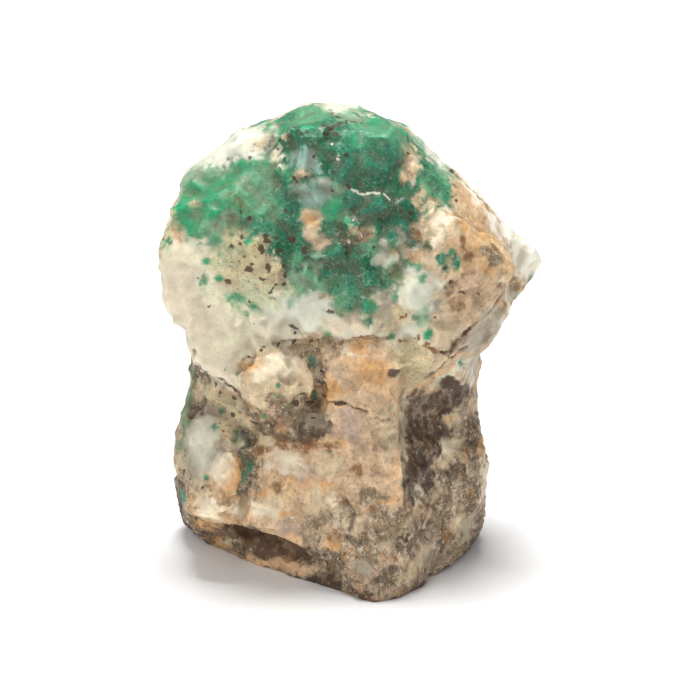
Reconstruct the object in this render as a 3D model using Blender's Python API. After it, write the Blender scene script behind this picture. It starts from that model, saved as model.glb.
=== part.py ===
"""Emerald in matrix: a hand specimen that stands on its broken underside.

Two solids. "matrix" is the rock: pale quartz and feldspar above, schist and mica below. "emerald" is the
mass of green beryl grown together, which fills a pocket in the upper front of the rock.

Frame: +Z up, X to the right and Y away from the viewer, who looks at the emerald. The origin is on the
resting face, under the middle of the stone. Lengths in the lists below are in millimetres, on a stone 48 mm
tall, and angles are in degrees.
"""

import math
import random

import bmesh
import bpy
import numpy as np
from mathutils import Euler, Matrix, Vector, noise
from mathutils.bvhtree import BVHTree

# Driving dimensions.
STONE_HEIGHT = 0.048
SKETCH_HEIGHT = 48.0
MM = STONE_HEIGHT / SKETCH_HEIGHT
NOISE_SEED = 5

POCKET_GAP = 0.3  # free space between the emerald and its pocket, in millimetres
CORE_VOXEL = 0.5 * MM  # size of the cells that merge the masses into one surface
STONE_TRIANGLES = 6400
UNTANGLE_ROUNDS = 20
SMOOTHING = 0.5  # how far each round moves a corner towards its neighbours

# The core: level rings of points, bridged from the base to the top.
RING_LEVELS = 34
RING_POINTS = 40
RING_BLUNTNESS = 0.78  # 1 gives ellipses, less gives rings with fuller corners

# Fracture faces: cells of the surface move towards their own mean plane, by a share of the way.
WIDE_FACETS = (6.4 * MM, 0.45)
SMALL_FACETS = (3.4 * MM, 0.70)
CELL_DIGITS = 3  # digits that tell the middles of two cells apart
LEAST_ALIGNMENT = 0.6  # a cell that bends more than this round an edge stays as it is
ROUGH_SCALE = 5.0 * MM
ROUGH_DEPTH = 0.3 * MM
ROUGH_FADE, ROUGH_STEP, ROUGH_LAYERS = 0.8, 2.1, 4  # how each finer layer fades and shrinks, and how many

# Outline of the core, seen from the front: height, then the leftmost and rightmost reach at that height.
SIDES = [
    (-1.5, -13.0, 11.5),
    (0.8, -15.4, 13.4),
    (3.0, -16.4, 14.4),
    (6.0, -16.7, 14.4),
    (9.0, -16.5, 14.4),
    (12.5, -16.0, 14.0),
    (16.0, -15.5, 13.8),
    (19.5, -15.0, 13.8),
    (23.0, -14.8, 14.2),
    (26.0, -15.6, 15.0),
    (28.0, -17.4, 15.6),
    (31.0, -18.0, 16.6),
    (34.0, -17.5, 15.8),
    (36.5, -16.4, 14.6),
    (39.0, -14.6, 12.2),
    (41.0, -12.4, 10.2),
    (42.5, -10.6, 8.6),
    (44.0, -8.8, 6.8),
    (45.5, -6.8, 4.8),
    (46.8, -4.4, 2.6),
]

# Outline of the core, seen from the left: height, then the reach to the front and to the back.
FRONT_AND_BACK = [
    (-1.5, -4.6, 9.5),
    (2.0, -5.8, 10.4),
    (6.0, -6.6, 11.0),
    (12.0, -6.8, 10.2),
    (18.0, -7.4, 9.0),
    (22.0, -8.8, 8.8),
    (26.0, -10.2, 9.4),
    (30.0, -10.4, 9.8),
    (34.0, -9.4, 9.0),
    (38.0, -7.8, 7.4),
    (42.0, -5.4, 5.2),
    (45.0, -2.8, 3.4),
    (46.8, -0.6, 2.0),
]

# Blocks that stand out from the core: name, centre, size, and turn about X, Y and Z.
BLOCKS = [
    ("front slab", (0.6, -5.6, 9.6), (16.6, 11.0, 13.4), (-4, 8, -17)),
    ("front corner", (4.4, -8.6, 2.6), (7.2, 7.2, 8.6), (0, 6, 38)),
    ("ledge under the cavity", (-3.6, -5.8, 0.4), (19.0, 5.0, 3.4), (0, 0, -37)),
    ("right wing", (9.6, -1.6, 6.4), (9.0, 11.0, 12.6), (0, -6, 26)),
    ("right wing top", (10.6, 0.4, 13.6), (4.6, 8.0, 8.0), (0, 8, 20)),
    ("left rib", (-12.0, -7.4, 8.4), (3.2, 4.2, 11.6), (0, 20, 4)),
    ("rib end", (-13.0, -6.8, 6.0), (4.4, 4.6, 4.8), (10, 0, 30)),
    ("left quartz lens", (-12.8, -3.0, 12.8), (6.0, 7.4, 9.0), (0, 8, -26)),
    ("left plate", (-10.6, -5.4, 32.2), (12.4, 8.0, 9.2), (8, -6, -14)),
    ("plate tail", (-9.4, -6.2, 24.0), (9.4, 5.8, 7.0), (2, 36, -12)),
    ("cream feldspar block", (-6.0, -9.8, 22.3), (6.6, 4.6, 5.8), (6, 34, 6)),
    ("peach feldspar block", (2.2, -9.2, 21.4), (6.6, 5.0, 8.4), (0, -6, -8)),
    ("neck column", (2.0, -7.8, 14.8), (7.0, 5.2, 9.6), (0, 4, -6)),
    ("neck, left", (-4.6, -6.4, 15.4), (7.4, 4.4, 5.6), (0, 10, 10)),
    ("right shoulder", (10.0, -5.4, 31.4), (9.4, 7.8, 11.0), (4, 36, 24)),
    ("shoulder step", (12.6, -2.8, 27.4), (7.4, 6.4, 5.4), (0, 30, 20)),
    ("shoulder knob", (8.6, -8.6, 25.6), (4.8, 4.4, 5.0), (0, 20, 0)),
    ("rear pale slab", (11.2, 1.6, 35.1), (16.6, 3.4, 5.6), (0, 41, 4)),
    ("pointed tip", (16.1, 1.2, 30.3), (6.6, 4.4, 6.5), (0, 45, 6)),
    ("pale top left", (-9.6, -1.0, 41.4), (5.6, 6.0, 5.2), (0, -42, -8)),
    ("pale left crest", (-13.3, -1.4, 39.3), (4.4, 5.2, 4.4), (0, -28, 0)),
    ("emerald dome", (-0.2, -3.0, 40.0), (11.2, 8.4, 12.2), (-17, 6, 0)),
    ("emerald, left", (-11.6, -5.2, 37.2), (8.0, 6.0, 5.4), (-10, -14, -12)),
    ("emerald, right", (5.6, -5.4, 35.4), (7.6, 6.0, 6.6), (-14, 20, 16)),
    ("back slab", (2.0, 6.0, 21.0), (18.0, 7.6, 23.0), (5, 8, 6)),
    ("back foot", (-5.0, 6.4, 6.0), (15.0, 8.6, 12.0), (0, -6, -12)),
    ("back step, right", (7.6, 6.2, 8.4), (9.0, 6.6, 7.6), (0, 12, 22)),
    ("back knob", (-7.0, 6.2, 32.0), (10.0, 6.0, 9.0), (10, 20, 10)),
]
CORNER_LOSS = (0.10, 0.42)  # share of each half size that a block's broken corners take away

# Fracture planes that take a corner off: name, a point on the plane and the way that it faces.
SPLITS = [
    ("underside bevel", (-3.0, -8.7, 0.0), (-0.47, -0.60, -0.65)),
    ("underside, left", (-11.2, -2.4, 0.0), (-0.62, -0.45, -0.64)),
    ("underside, right", (11.6, -4.0, 0.4), (0.63, -0.29, -0.72)),
    ("crown, left", (-11.0, 0.0, 44.2), (-0.66, 0.22, 0.72)),
    ("back of the crown", (0.0, 5.0, 43.4), (0.05, 0.80, 0.60)),
    ("back, left flank", (-14.2, 6.8, 20.0), (-0.70, 0.70, 0.10)),
    ("back, right flank", (12.4, 8.2, 22.0), (0.50, 0.86, 0.05)),
    ("right of the foot", (15.0, -2.0, 5.0), (0.84, -0.50, -0.20)),
]

# Hollows, as blocks that are taken away.
HOLLOWS = [
    ("dark cavity over the foot", (-7.6, -7.0, 3.9), (8.2, 6.4, 3.3), (0, 15, -36)),
    ("schist recess", (12.0, -11.0, 15.4), (9.6, 8.0, 12.0), (-6, 4, 40)),
    ("notch under the plate", (-16.0, -8.6, 18.8), (5.4, 6.0, 3.4), (0, 40, 0)),
    ("cleft under the cream block", (-6.4, -11.0, 17.6), (7.0, 4.6, 1.6), (0, -14, 6)),
    ("cleft between the blocks", (-2.0, -11.6, 21.6), (1.2, 3.6, 7.0), (0, 8, 0)),
    ("cleft between the plate and the cream block", (-9.2, -10.6, 22.0), (0.9, 3.0, 6.0), (0, 36, 0)),
    ("cleft beside the rib", (-9.4, -9.6, 11.2), (1.0, 3.0, 6.0), (0, 20, 0)),
    ("cleft under the peach block", (1.6, -11.6, 16.6), (7.0, 3.0, 1.0), (0, 14, 0)),
    ("narrow end of the cavity", (-3.6, -9.6, 2.7), (8.4, 5.0, 1.7), (6, 14, -32)),
]

# Outline of the emerald mass, seen from the front, as X and Z. It runs off the stone above and to the left.
EMERALD_OUTLINE = [
    (-19.5, 41.6),
    (-20.0, 37.4),
    (-14.6, 36.8),
    (-10.8, 36.0),
    (-8.8, 32.2),
    (-5.4, 30.6),
    (-1.6, 31.2),
    (0.6, 27.8),
    (3.8, 28.0),
    (4.8, 31.6),
    (7.2, 33.4),
    (10.2, 32.8),
    (11.0, 35.6),
    (9.8, 38.2),
    (12.2, 40.2),
    (13.6, 44.0),
    (8.0, 52.0),
    (-6.2, 52.0),
    (-8.0, 46.4),
    (-8.6, 43.6),
    (-11.6, 42.2),
]
OUTLINE_STEP = 1.0  # spacing of the points along the outline, once its sides wander
OUTLINE_WANDER = 0.8
WANDER_SCALE = 2.4
POCKET_FLOOR = -6.2  # Y of the pocket's floor at the height below
POCKET_FLOOR_HEIGHT = 26.0
POCKET_LEAN = 17.0  # how far the floor leans back, as the stone's face does
POCKET_FRONT = -20.0  # Y of the shape's open end, clear of the stone
POCKET_ROUGHNESS = 0.4
POCKET_ROUGHNESS_SCALE = 3.0
LONG_EDGE = 3 * OUTLINE_STEP  # longer edges of the pocket's shape are cut, so that its sides can be rough
LONG_EDGE_CUTS = 3
LEAST_CORNER_COSINE = 0.6  # keeps the points of sharp corners from moving too far as the outline grows

# Six-sided beryl crystals that stand out of a face: X and Z of each, its turn in that face, length and width.
CRYSTALS = [
    (7.0, 38.6, -38, 3.4, 1.3),
    (8.5, 38.2, 28, 3.4, 1.2),
    (9.6, 36.9, 40, 2.6, 1.0),
    (5.6, 36.2, -60, 2.6, 1.4),
    (6.4, 41.0, -20, 3.0, 1.5),
    (-15.0, 38.9, 70, 3.0, 1.8),
    (-12.8, 38.2, 15, 2.8, 1.7),
    (-13.6, 40.2, -40, 2.6, 1.5),
    (-9.8, 39.6, -25, 2.6, 1.5),
    (-1.0, 35.0, 80, 3.4, 2.0),
    (0.8, 36.9, 20, 3.0, 1.8),
    (2.6, 33.8, -15, 3.0, 1.7),
    (-2.6, 33.0, -50, 2.4, 1.5),
    (0.4, 42.4, 35, 3.0, 1.6),
    (3.6, 43.0, -70, 2.6, 1.4),
    (3.2, 39.4, 60, 2.8, 1.6),
    (-3.4, 43.8, 10, 2.6, 1.4),
    (-5.4, 42.2, -65, 2.4, 1.3),
    (2.4, 30.2, 5, 2.2, 1.5),
    (-6.6, 34.0, 50, 2.4, 1.4),
    (4.8, 34.4, 25, 2.2, 1.3),
]

# Single grains of beryl in the quartz and feldspar around the mass, written in the same way.
GRAINS = [
    (8.8, 24.6, 20, 1.0, 1.0),
    (8.0, 26.2, -30, 0.8, 0.7),
    (5.5, 24.4, 0, 0.7, 0.7),
    (-2.9, 21.8, 10, 1.0, 0.8),
    (-2.9, 18.2, 50, 0.9, 0.9),
    (10.6, 32.0, -20, 1.0, 0.9),
    (11.6, 33.2, 35, 0.8, 0.8),
    (-7.6, 28.8, 60, 0.9, 0.8),
    (-10.6, 29.8, -10, 0.9, 0.7),
    (-9.8, 28.2, 25, 0.8, 0.8),
]
CRYSTAL_SIDES = 6
STANDING_SHARE = 0.28  # how much of a crystal's width stands out of the face
LIFT = 0.10  # slope of a crystal's axis out of the face

# Colour and roughness of each piece.
MATRIX_FINISH = ((0.50, 0.41, 0.30), 0.75)
EMERALD_FINISH = ((0.04, 0.26, 0.16), 0.35)


def reach_at(table, height):
    """The two values of a table at a height, on straight lines between its rows."""
    heights = [row[0] for row in table]
    return [float(np.interp(height, heights, [row[i] for row in table])) for i in (1, 2)]


def rounded_square(angle):
    """A point on a unit curve between a circle and a square."""
    c, s = math.cos(angle), math.sin(angle)
    return math.copysign(abs(c) ** RING_BLUNTNESS, c), math.copysign(abs(s) ** RING_BLUNTNESS, s)


def core():
    bm = bmesh.new()
    rings = []
    for height in np.linspace(SIDES[0][0], SIDES[-1][0], RING_LEVELS):
        left, right = reach_at(SIDES, height)
        front, back = reach_at(FRONT_AND_BACK, height)
        ring = []
        for i in range(RING_POINTS):
            c, s = rounded_square(2 * math.pi * i / RING_POINTS)
            x = (left + right) / 2 + c * (right - left) / 2
            y = (front + back) / 2 + s * (back - front) / 2
            ring.append(bm.verts.new(Vector((x, y, height)) * MM))
        rings.append(ring)
    for low, high in zip(rings, rings[1:]):
        for i in range(RING_POINTS):
            j = (i + 1) % RING_POINTS
            bm.faces.new((low[i], low[j], high[j], high[i]))
    bm.faces.new(list(reversed(rings[0])))
    bm.faces.new(rings[-1])
    return bm


def turned_by(degrees):
    return Euler([math.radians(d) for d in degrees]).to_matrix()


def add_block(bm, centre, size, turn, seed):
    """An angular block: a box whose eight corners have each broken off along their own seeded plane."""
    rng = random.Random(seed)
    corners = []
    for signs in ((x, y, z) for x in (-1, 1) for y in (-1, 1) for z in (-1, 1)):
        for axis in range(3):
            local = Vector([sign * length / 2 for sign, length in zip(signs, size)])
            local[axis] *= 1 - rng.uniform(*CORNER_LOSS)
            corners.append(bm.verts.new((turned_by(turn) @ local + Vector(centre)) * MM))
    bmesh.ops.convex_hull(bm, input=corners)
    loose = [v for v in corners if v.is_valid and not v.link_faces]
    bmesh.ops.delete(bm, geom=loose, context="VERTS")


def new_object(name, bm):
    bmesh.ops.recalc_face_normals(bm, faces=bm.faces)
    mesh = bpy.data.meshes.new(name)
    bm.to_mesh(mesh)
    bm.free()
    obj = bpy.data.objects.new(name, mesh)
    bpy.context.scene.collection.objects.link(obj)
    return obj


def apply_modifiers(obj):
    """Replaces the object's mesh by the one that its modifiers make."""
    graph = bpy.context.evaluated_depsgraph_get()
    mesh = bpy.data.meshes.new_from_object(obj.evaluated_get(graph))
    obj.modifiers.clear()
    obj.data = mesh


def remesh(obj, voxel):
    modifier = obj.modifiers.new("Merge", "REMESH")
    modifier.mode = "VOXEL"
    modifier.voxel_size = voxel
    apply_modifiers(obj)


def boolean(obj, other, operation, other_overlaps=False):
    """Cuts or joins another object, then removes it. Its own bodies may overlap where that is said."""
    modifier = obj.modifiers.new("Cut", "BOOLEAN")
    modifier.operation = operation
    modifier.use_self = other_overlaps
    modifier.object = other
    apply_modifiers(obj)
    bpy.data.objects.remove(other)


def points_of(obj):
    points = np.empty(len(obj.data.vertices) * 3)
    obj.data.vertices.foreach_get("co", points)
    return points.reshape(-1, 3)


def normals_of(obj):
    normals = np.empty(len(obj.data.vertices) * 3)
    obj.data.vertex_normals.foreach_get("vector", normals)
    return normals.reshape(-1, 3)


def set_points(obj, points):
    obj.data.vertices.foreach_set("co", points.ravel())
    obj.data.update()


def smooth(bm, verts):
    bmesh.ops.smooth_vert(bm, verts=verts, factor=SMOOTHING, use_axis_x=True, use_axis_y=True, use_axis_z=True)


def crossing_corners(bm):
    """The corners of faces that pass through each other without sharing a corner."""
    bm.faces.ensure_lookup_table()
    tree = BVHTree.FromBMesh(bm)
    corners = set()
    for a, b in tree.overlap(tree):
        first, second = set(bm.faces[a].verts), set(bm.faces[b].verts)
        if not first & second:
            corners |= first | second
    return list(corners)


def untangle(obj):
    """Smooths the surface wherever it passes through itself, until it no longer does."""
    bm = bmesh.new()
    bm.from_mesh(obj.data)
    bmesh.ops.triangulate(bm, faces=bm.faces)
    for _ in range(UNTANGLE_ROUNDS):
        corners = crossing_corners(bm)
        if not corners:
            break
        smooth(bm, corners)
    bm.to_mesh(obj.data)
    bm.free()


def break_into_facets(obj, cell, pull):
    """Gathers the surface into cells and moves each towards its own mean plane, as rock parts on flat faces."""
    points, normals = points_of(obj), normals_of(obj)
    owners = {}
    for i, p in enumerate(points):
        nearest = noise.voronoi(Vector(p) / cell)[1][0]
        owners.setdefault(tuple(round(c, CELL_DIGITS) for c in nearest), []).append(i)
    for members in owners.values():
        normal = normals[members].mean(0)
        length = np.linalg.norm(normal)
        if length > LEAST_ALIGNMENT:
            normal /= length
            height = (points[members] - points[members].mean(0)) @ normal
            points[members] -= pull * height[:, None] * normal
    set_points(obj, points)


def roughen(obj):
    """Moves the surface along its normals by fractal noise."""
    points, normals = points_of(obj), normals_of(obj)
    heights = [noise.fractal(Vector(p) / ROUGH_SCALE, ROUGH_FADE, ROUGH_STEP, ROUGH_LAYERS) for p in points]
    set_points(obj, points + ROUGH_DEPTH * np.array(heights)[:, None] * normals)


def thin_out(obj, triangles):
    obj.data.calc_loop_triangles()
    modifier = obj.modifiers.new("Thin", "DECIMATE")
    modifier.ratio = triangles / len(obj.data.loop_triangles)
    apply_modifiers(obj)


def cut_level(bm, point, facing):
    """Takes away what lies beyond a plane, and closes the cut with a flat face."""
    everything = bm.verts[:] + bm.edges[:] + bm.faces[:]
    cut = bmesh.ops.bisect_plane(bm, geom=everything, plane_co=point, plane_no=facing, clear_outer=True)
    rim = [e for e in cut["geom_cut"] if isinstance(e, bmesh.types.BMEdge)]
    bmesh.ops.contextual_create(bm, geom=rim)


def split_by_planes(obj):
    bm = bmesh.new()
    bm.from_mesh(obj.data)
    for _, point, facing in SPLITS:
        cut_level(bm, Vector(point) * MM, Vector(facing).normalized())
    bmesh.ops.triangulate(bm, faces=bm.faces)
    bmesh.ops.recalc_face_normals(bm, faces=bm.faces)
    bm.to_mesh(obj.data)
    bm.free()


def stand_flat(obj):
    """Cuts off all that is below the level of the resting face."""
    bm = bmesh.new()
    bmesh.ops.create_cube(bm, size=2 * SKETCH_HEIGHT * MM)
    bmesh.ops.translate(bm, vec=Vector((0, 0, -SKETCH_HEIGHT * MM)), verts=bm.verts)
    boolean(obj, new_object("below", bm), "DIFFERENCE")


def make_hollows():
    bm = bmesh.new()
    for seed, (_, centre, size, turn) in enumerate(HOLLOWS, len(BLOCKS)):
        add_block(bm, centre, size, turn, seed)
    return new_object("hollows", bm)


def make_stone():
    bm = core()
    for seed, (_, centre, size, turn) in enumerate(BLOCKS):
        add_block(bm, centre, size, turn, seed)
    stone = new_object("matrix", bm)
    remesh(stone, CORE_VOXEL)
    boolean(stone, make_hollows(), "DIFFERENCE", other_overlaps=True)
    split_by_planes(stone)
    remesh(stone, CORE_VOXEL)
    break_into_facets(stone, *WIDE_FACETS)
    break_into_facets(stone, *SMALL_FACETS)
    roughen(stone)
    untangle(stone)
    thin_out(stone, STONE_TRIANGLES)
    untangle(stone)
    stand_flat(stone)
    return stone


def wandering_outline():
    """The emerald's outline with points a step apart, each moved by noise as crystals break the edge up."""
    outline = []
    for (x, z), (next_x, next_z) in zip(EMERALD_OUTLINE, EMERALD_OUTLINE[1:] + EMERALD_OUTLINE[:1]):
        steps = max(1, round(math.hypot(next_x - x, next_z - z) / OUTLINE_STEP))
        for i in range(steps):
            point = Vector((x, 0, z)).lerp(Vector((next_x, 0, next_z)), i / steps)
            shift = noise.noise_vector(point / WANDER_SCALE) * OUTLINE_WANDER
            outline.append((point.x + shift.x, point.z + shift.z))
    return outline


def widened(outline, growth):
    """The outline moved outwards by a distance, each point along the line that halves its corner."""
    moved = []
    for i, (x, z) in enumerate(outline):
        before = Vector((x, z)) - Vector(outline[i - 1])
        after = Vector(outline[(i + 1) % len(outline)]) - Vector((x, z))
        normals = [Vector((side.y, -side.x)).normalized() for side in (before, after)]
        halfway = (normals[0] + normals[1]).normalized()
        moved.append(Vector((x, z)) + halfway * growth / max(halfway.dot(normals[0]), LEAST_CORNER_COSINE))
    return moved


def pocket_shape(name, growth):
    """The emerald's outline drawn out of the stone from the pocket's floor, grown by a length in millimetres."""
    bm = bmesh.new()
    lean = math.tan(math.radians(POCKET_LEAN))
    floor = []
    for x, z in widened(wandering_outline(), growth):
        y = POCKET_FLOOR + growth + (z - POCKET_FLOOR_HEIGHT) * lean
        floor.append(bm.verts.new(Vector((x, y, z)) * MM))
    face = bm.faces.new(floor)
    walls = bmesh.ops.extrude_face_region(bm, geom=[face])["geom"]
    for vert in [v for v in walls if isinstance(v, bmesh.types.BMVert)]:
        vert.co.y = POCKET_FRONT * MM
    bmesh.ops.triangulate(bm, faces=bm.faces)
    long_edges = [e for e in bm.edges if e.calc_length() > LONG_EDGE * MM]
    bmesh.ops.subdivide_edges(bm, edges=long_edges, cuts=LONG_EDGE_CUTS)
    bmesh.ops.triangulate(bm, faces=bm.faces)
    for vert in bm.verts:
        vert.co += noise.noise_vector(vert.co / (POCKET_ROUGHNESS_SCALE * MM)) * POCKET_ROUGHNESS * MM
    return new_object(name, bm)


def set_crystals(obj, places):
    """Six-sided prisms that lie in the object's front face, partly sunk in it."""
    bm = bmesh.new()
    for x, z, turn, length, width in places:
        hit, point, normal, _ = obj.ray_cast(Vector((x, 2 * POCKET_FRONT, z)) * MM, Vector((0, 1, 0)))
        if not hit:
            continue
        along = Vector((math.sin(math.radians(turn)), 0, math.cos(math.radians(turn))))
        along = (along - along.dot(normal) * normal + LIFT * normal).normalized()
        side = along.cross(normal).normalized()
        frame = Matrix((side, along.cross(side), along)).transposed().to_4x4()
        frame.translation = point - normal * (0.5 - STANDING_SHARE) * width * MM
        bmesh.ops.create_cone(
            bm, cap_ends=True, segments=CRYSTAL_SIDES, radius1=width * MM / 2, radius2=width * MM / 2,
            depth=length * MM, matrix=frame,
        )
    crystals = new_object("crystals", bm)
    boolean(obj, crystals, "UNION", other_overlaps=True)


def copy_of(obj, name):
    twin = bpy.data.objects.new(name, obj.data.copy())
    bpy.context.scene.collection.objects.link(twin)
    return twin


def split_off_emerald(stone):
    """Parts the stone into the emerald mass and the matrix around it."""
    emerald = copy_of(stone, "emerald")
    set_crystals(emerald, CRYSTALS)
    set_crystals(stone, GRAINS)
    boolean(emerald, pocket_shape("inside", 0.0), "INTERSECT")
    boolean(stone, pocket_shape("outside", POCKET_GAP), "DIFFERENCE")
    return emerald


def finish(obj, colour_and_roughness, parent):
    colour, roughness = colour_and_roughness
    material = bpy.data.materials.new(obj.name)
    material.use_nodes = True
    shader = material.node_tree.nodes["Principled BSDF"]
    shader.inputs["Base Color"].default_value = (*colour, 1.0)
    shader.inputs["Roughness"].default_value = roughness
    shader.inputs["Metallic"].default_value = 0.0
    obj.data.materials.clear()
    obj.data.materials.append(material)
    obj.parent = parent


def clear_scene():
    for obj in list(bpy.data.objects):
        bpy.data.objects.remove(obj)


def main():
    clear_scene()
    noise.seed_set(NOISE_SEED)
    stone = make_stone()
    emerald = split_off_emerald(stone)
    specimen = bpy.data.objects.new("specimen", None)
    bpy.context.scene.collection.objects.link(specimen)
    finish(stone, MATRIX_FINISH, specimen)
    finish(emerald, EMERALD_FINISH, specimen)


main()
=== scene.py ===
# %% [markdown]
# # A hand specimen of emerald in matrix
#
# The real thing is one broken stone about 48 mm tall. Its upper front is a mass of green beryl grown
# together, and the rest is pale quartz, cream and peach feldspar, and dark mica schist at the foot. This
# lesson dresses the two plain solids of the model, "matrix" and "emerald", with the fine surface and the
# minerals of the stone.

# %% Load the model that everything is built around
import math

import bmesh
import bpy
import numpy as np
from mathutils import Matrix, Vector, noise
from mathutils.bvhtree import BVHTree
from mathutils.kdtree import KDTree


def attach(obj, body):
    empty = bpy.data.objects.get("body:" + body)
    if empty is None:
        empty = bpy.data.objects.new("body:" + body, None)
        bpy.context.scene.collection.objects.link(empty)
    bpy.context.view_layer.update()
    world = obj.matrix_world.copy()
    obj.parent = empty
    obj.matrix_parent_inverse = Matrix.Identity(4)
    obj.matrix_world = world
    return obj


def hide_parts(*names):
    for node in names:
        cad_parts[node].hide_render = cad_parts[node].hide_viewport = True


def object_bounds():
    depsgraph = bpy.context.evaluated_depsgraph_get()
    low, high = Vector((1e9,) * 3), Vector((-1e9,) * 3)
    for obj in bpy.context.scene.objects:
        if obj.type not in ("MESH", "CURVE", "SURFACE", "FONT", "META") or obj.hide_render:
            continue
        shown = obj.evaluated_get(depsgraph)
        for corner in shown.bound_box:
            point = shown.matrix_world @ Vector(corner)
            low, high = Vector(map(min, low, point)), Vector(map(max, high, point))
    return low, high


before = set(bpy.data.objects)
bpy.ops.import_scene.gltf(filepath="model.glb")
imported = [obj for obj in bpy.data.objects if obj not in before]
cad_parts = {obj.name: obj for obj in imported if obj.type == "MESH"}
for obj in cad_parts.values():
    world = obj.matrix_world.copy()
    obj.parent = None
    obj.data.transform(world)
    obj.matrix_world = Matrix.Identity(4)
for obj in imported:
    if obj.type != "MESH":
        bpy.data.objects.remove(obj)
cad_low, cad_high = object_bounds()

MM = 0.001
print("model box in mm:", [round(v / MM, 1) for v in cad_low], [round(v / MM, 1) for v in cad_high])

# %% [markdown]
# ## The camera
#
# The stone is seen from the front and from a little above. A long lens keeps its sides nearly parallel.
# The camera is made first, because the places of the minerals are read off the same view: a spot's place
# is given in pixels of a picture 700 pixels wide, and one pixel is a tenth of a millimetre in the middle
# of the stone.

# %% Place the camera
PICTURE = 700
LENS, SENSOR = 180.0, 36.0
VIEW_DISTANCE = 350 * MM
VIEW_HEIGHT_ANGLE = 22.0
VIEW_TARGET = Vector((1.0, 0.0, 21.5)) * MM

tilt = math.radians(VIEW_HEIGHT_ANGLE)
towards_eye = Vector((0, -math.cos(tilt), math.sin(tilt)))
eye = VIEW_TARGET + towards_eye * VIEW_DISTANCE
picture_right = Vector((1, 0, 0))
picture_up = Vector((0, math.sin(tilt), math.cos(tilt)))
PIXEL = VIEW_DISTANCE * SENSOR / LENS / PICTURE

camera = bpy.data.objects.new("camera", bpy.data.cameras.new("camera"))
camera.data.lens, camera.data.sensor_width = LENS, SENSOR
camera.data.clip_start, camera.data.clip_end = 0.01, 10.0
camera.location = eye
camera.rotation_euler = towards_eye.to_track_quat("Z", "Y").to_euler()
bpy.context.scene.collection.objects.link(camera)
bpy.context.scene.camera = camera
print("one pixel is", round(PIXEL / MM, 3), "mm at the middle of the stone")

# %% [markdown]
# ## One fine surface for the whole stone
#
# The model's two solids stand 0.3 mm apart, but the real crystals are grown fast to the rock. So both
# meshes are swelled until they meet, merged by a voxel remesh, and shrunk back. That gives one closed
# skin with points every fifth of a millimetre, fine enough to carve. Carving a single skin, and parting
# it again at the end, leaves no seam where green meets white.

# %% Merge the two solids into one fine skin
GRID = 0.21 * MM
SWELL = 0.30 * MM
WELD = 0.0001 * MM
NO_LENGTH = 1e-12  # keeps a division by a length of nothing from failing


def welded(node):
    """A node's mesh with its split corners joined again."""
    bm = bmesh.new()
    bm.from_mesh(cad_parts[node].data)
    bmesh.ops.remove_doubles(bm, verts=bm.verts, dist=WELD)
    return bm


def swelled_union(nodes):
    joined = bmesh.new()
    for name in nodes:
        bm = welded(name)
        bm.normal_update()
        for v in bm.verts:
            v.co += v.normal * SWELL
        mesh = bpy.data.meshes.new("part")
        bm.to_mesh(mesh)
        joined.from_mesh(mesh)
        bpy.data.meshes.remove(mesh)
        bm.free()
    mesh = bpy.data.meshes.new("stone")
    joined.to_mesh(mesh)
    joined.free()
    obj = bpy.data.objects.new("stone", mesh)
    bpy.context.scene.collection.objects.link(obj)
    merge = obj.modifiers.new("merge", "REMESH")
    merge.mode, merge.voxel_size = "VOXEL", GRID
    graph = bpy.context.evaluated_depsgraph_get()
    fine = bpy.data.meshes.new_from_object(obj.evaluated_get(graph))
    bpy.data.objects.remove(obj)
    return fine


fine = swelled_union(["matrix", "emerald"])
points = np.empty(len(fine.vertices) * 3)
fine.vertices.foreach_get("co", points)
points = points.reshape(-1, 3)
quads = np.empty(len(fine.loops), int)
fine.loops.foreach_get("vertex_index", quads)
quads = quads.reshape(-1, 4)
print(len(points), "points,", len(quads), "faces")


def skin_normals(points, quads):
    """A unit normal at each point of the skin."""
    across = points[quads[:, 2]] - points[quads[:, 0]]
    along = points[quads[:, 3]] - points[quads[:, 1]]
    facing = np.cross(across, along)
    total = np.zeros_like(points)
    for corner in range(4):
        for axis in range(3):
            total[:, axis] += np.bincount(quads[:, corner], facing[:, axis], len(points))
    return total / np.maximum(np.linalg.norm(total, axis=1), NO_LENGTH)[:, None]


def largest_body(points, quads):
    """Drops any small closed hollow that the merge left inside."""
    label = np.arange(len(points))
    while True:
        lowest = label[quads].min(1)
        new = label.copy()
        for corner in range(4):
            np.minimum.at(new, quads[:, corner], lowest)
        new = new[new]
        if np.array_equal(new, label):
            break
        label = new
    main = np.bincount(label).argmax()
    kept = label == main
    number = np.cumsum(kept) - 1
    return points[kept], number[quads[kept[quads[:, 0]]]]


points, quads = largest_body(points, quads)
points = points - skin_normals(points, quads) * SWELL
print("one body of", len(points), "points")

# %% [markdown]
# ## Reading the surface
#
# Hollows get brown dust and painted shade, and edges are rubbed pale, so each point needs to know whether
# it lies in a hollow or on a ridge. A smoothed copy of the surface tells: where it stands proud of the real
# one, the point is in a hollow. Wider smoothing finds wider hollows.

# %% Measure hollows and ridges
sides = np.concatenate([quads[:, [0, 1]], quads[:, [1, 2]], quads[:, [2, 3]], quads[:, [3, 0]]])
sides = np.unique(np.sort(sides, axis=1), axis=0)
neighbours = np.bincount(sides.ravel(), minlength=len(points))


def averaged(field, rounds=1):
    """Each point takes its neighbours' average, as many times as said."""
    first, second = sides.T
    for _ in range(rounds):
        columns = field.reshape(len(field), -1).T
        total = [np.bincount(first, c[second], len(c)) + np.bincount(second, c[first], len(c)) for c in columns]
        field = (np.stack(total, axis=1) / neighbours[:, None]).reshape(field.shape)
    return field


def distance_to(node):
    """Each point's distance to a node of the model."""
    bm = welded(node)
    tree = BVHTree.FromBMesh(bm)
    bm.free()
    return np.array([tree.find_nearest(p)[3] for p in points.tolist()])


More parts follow.
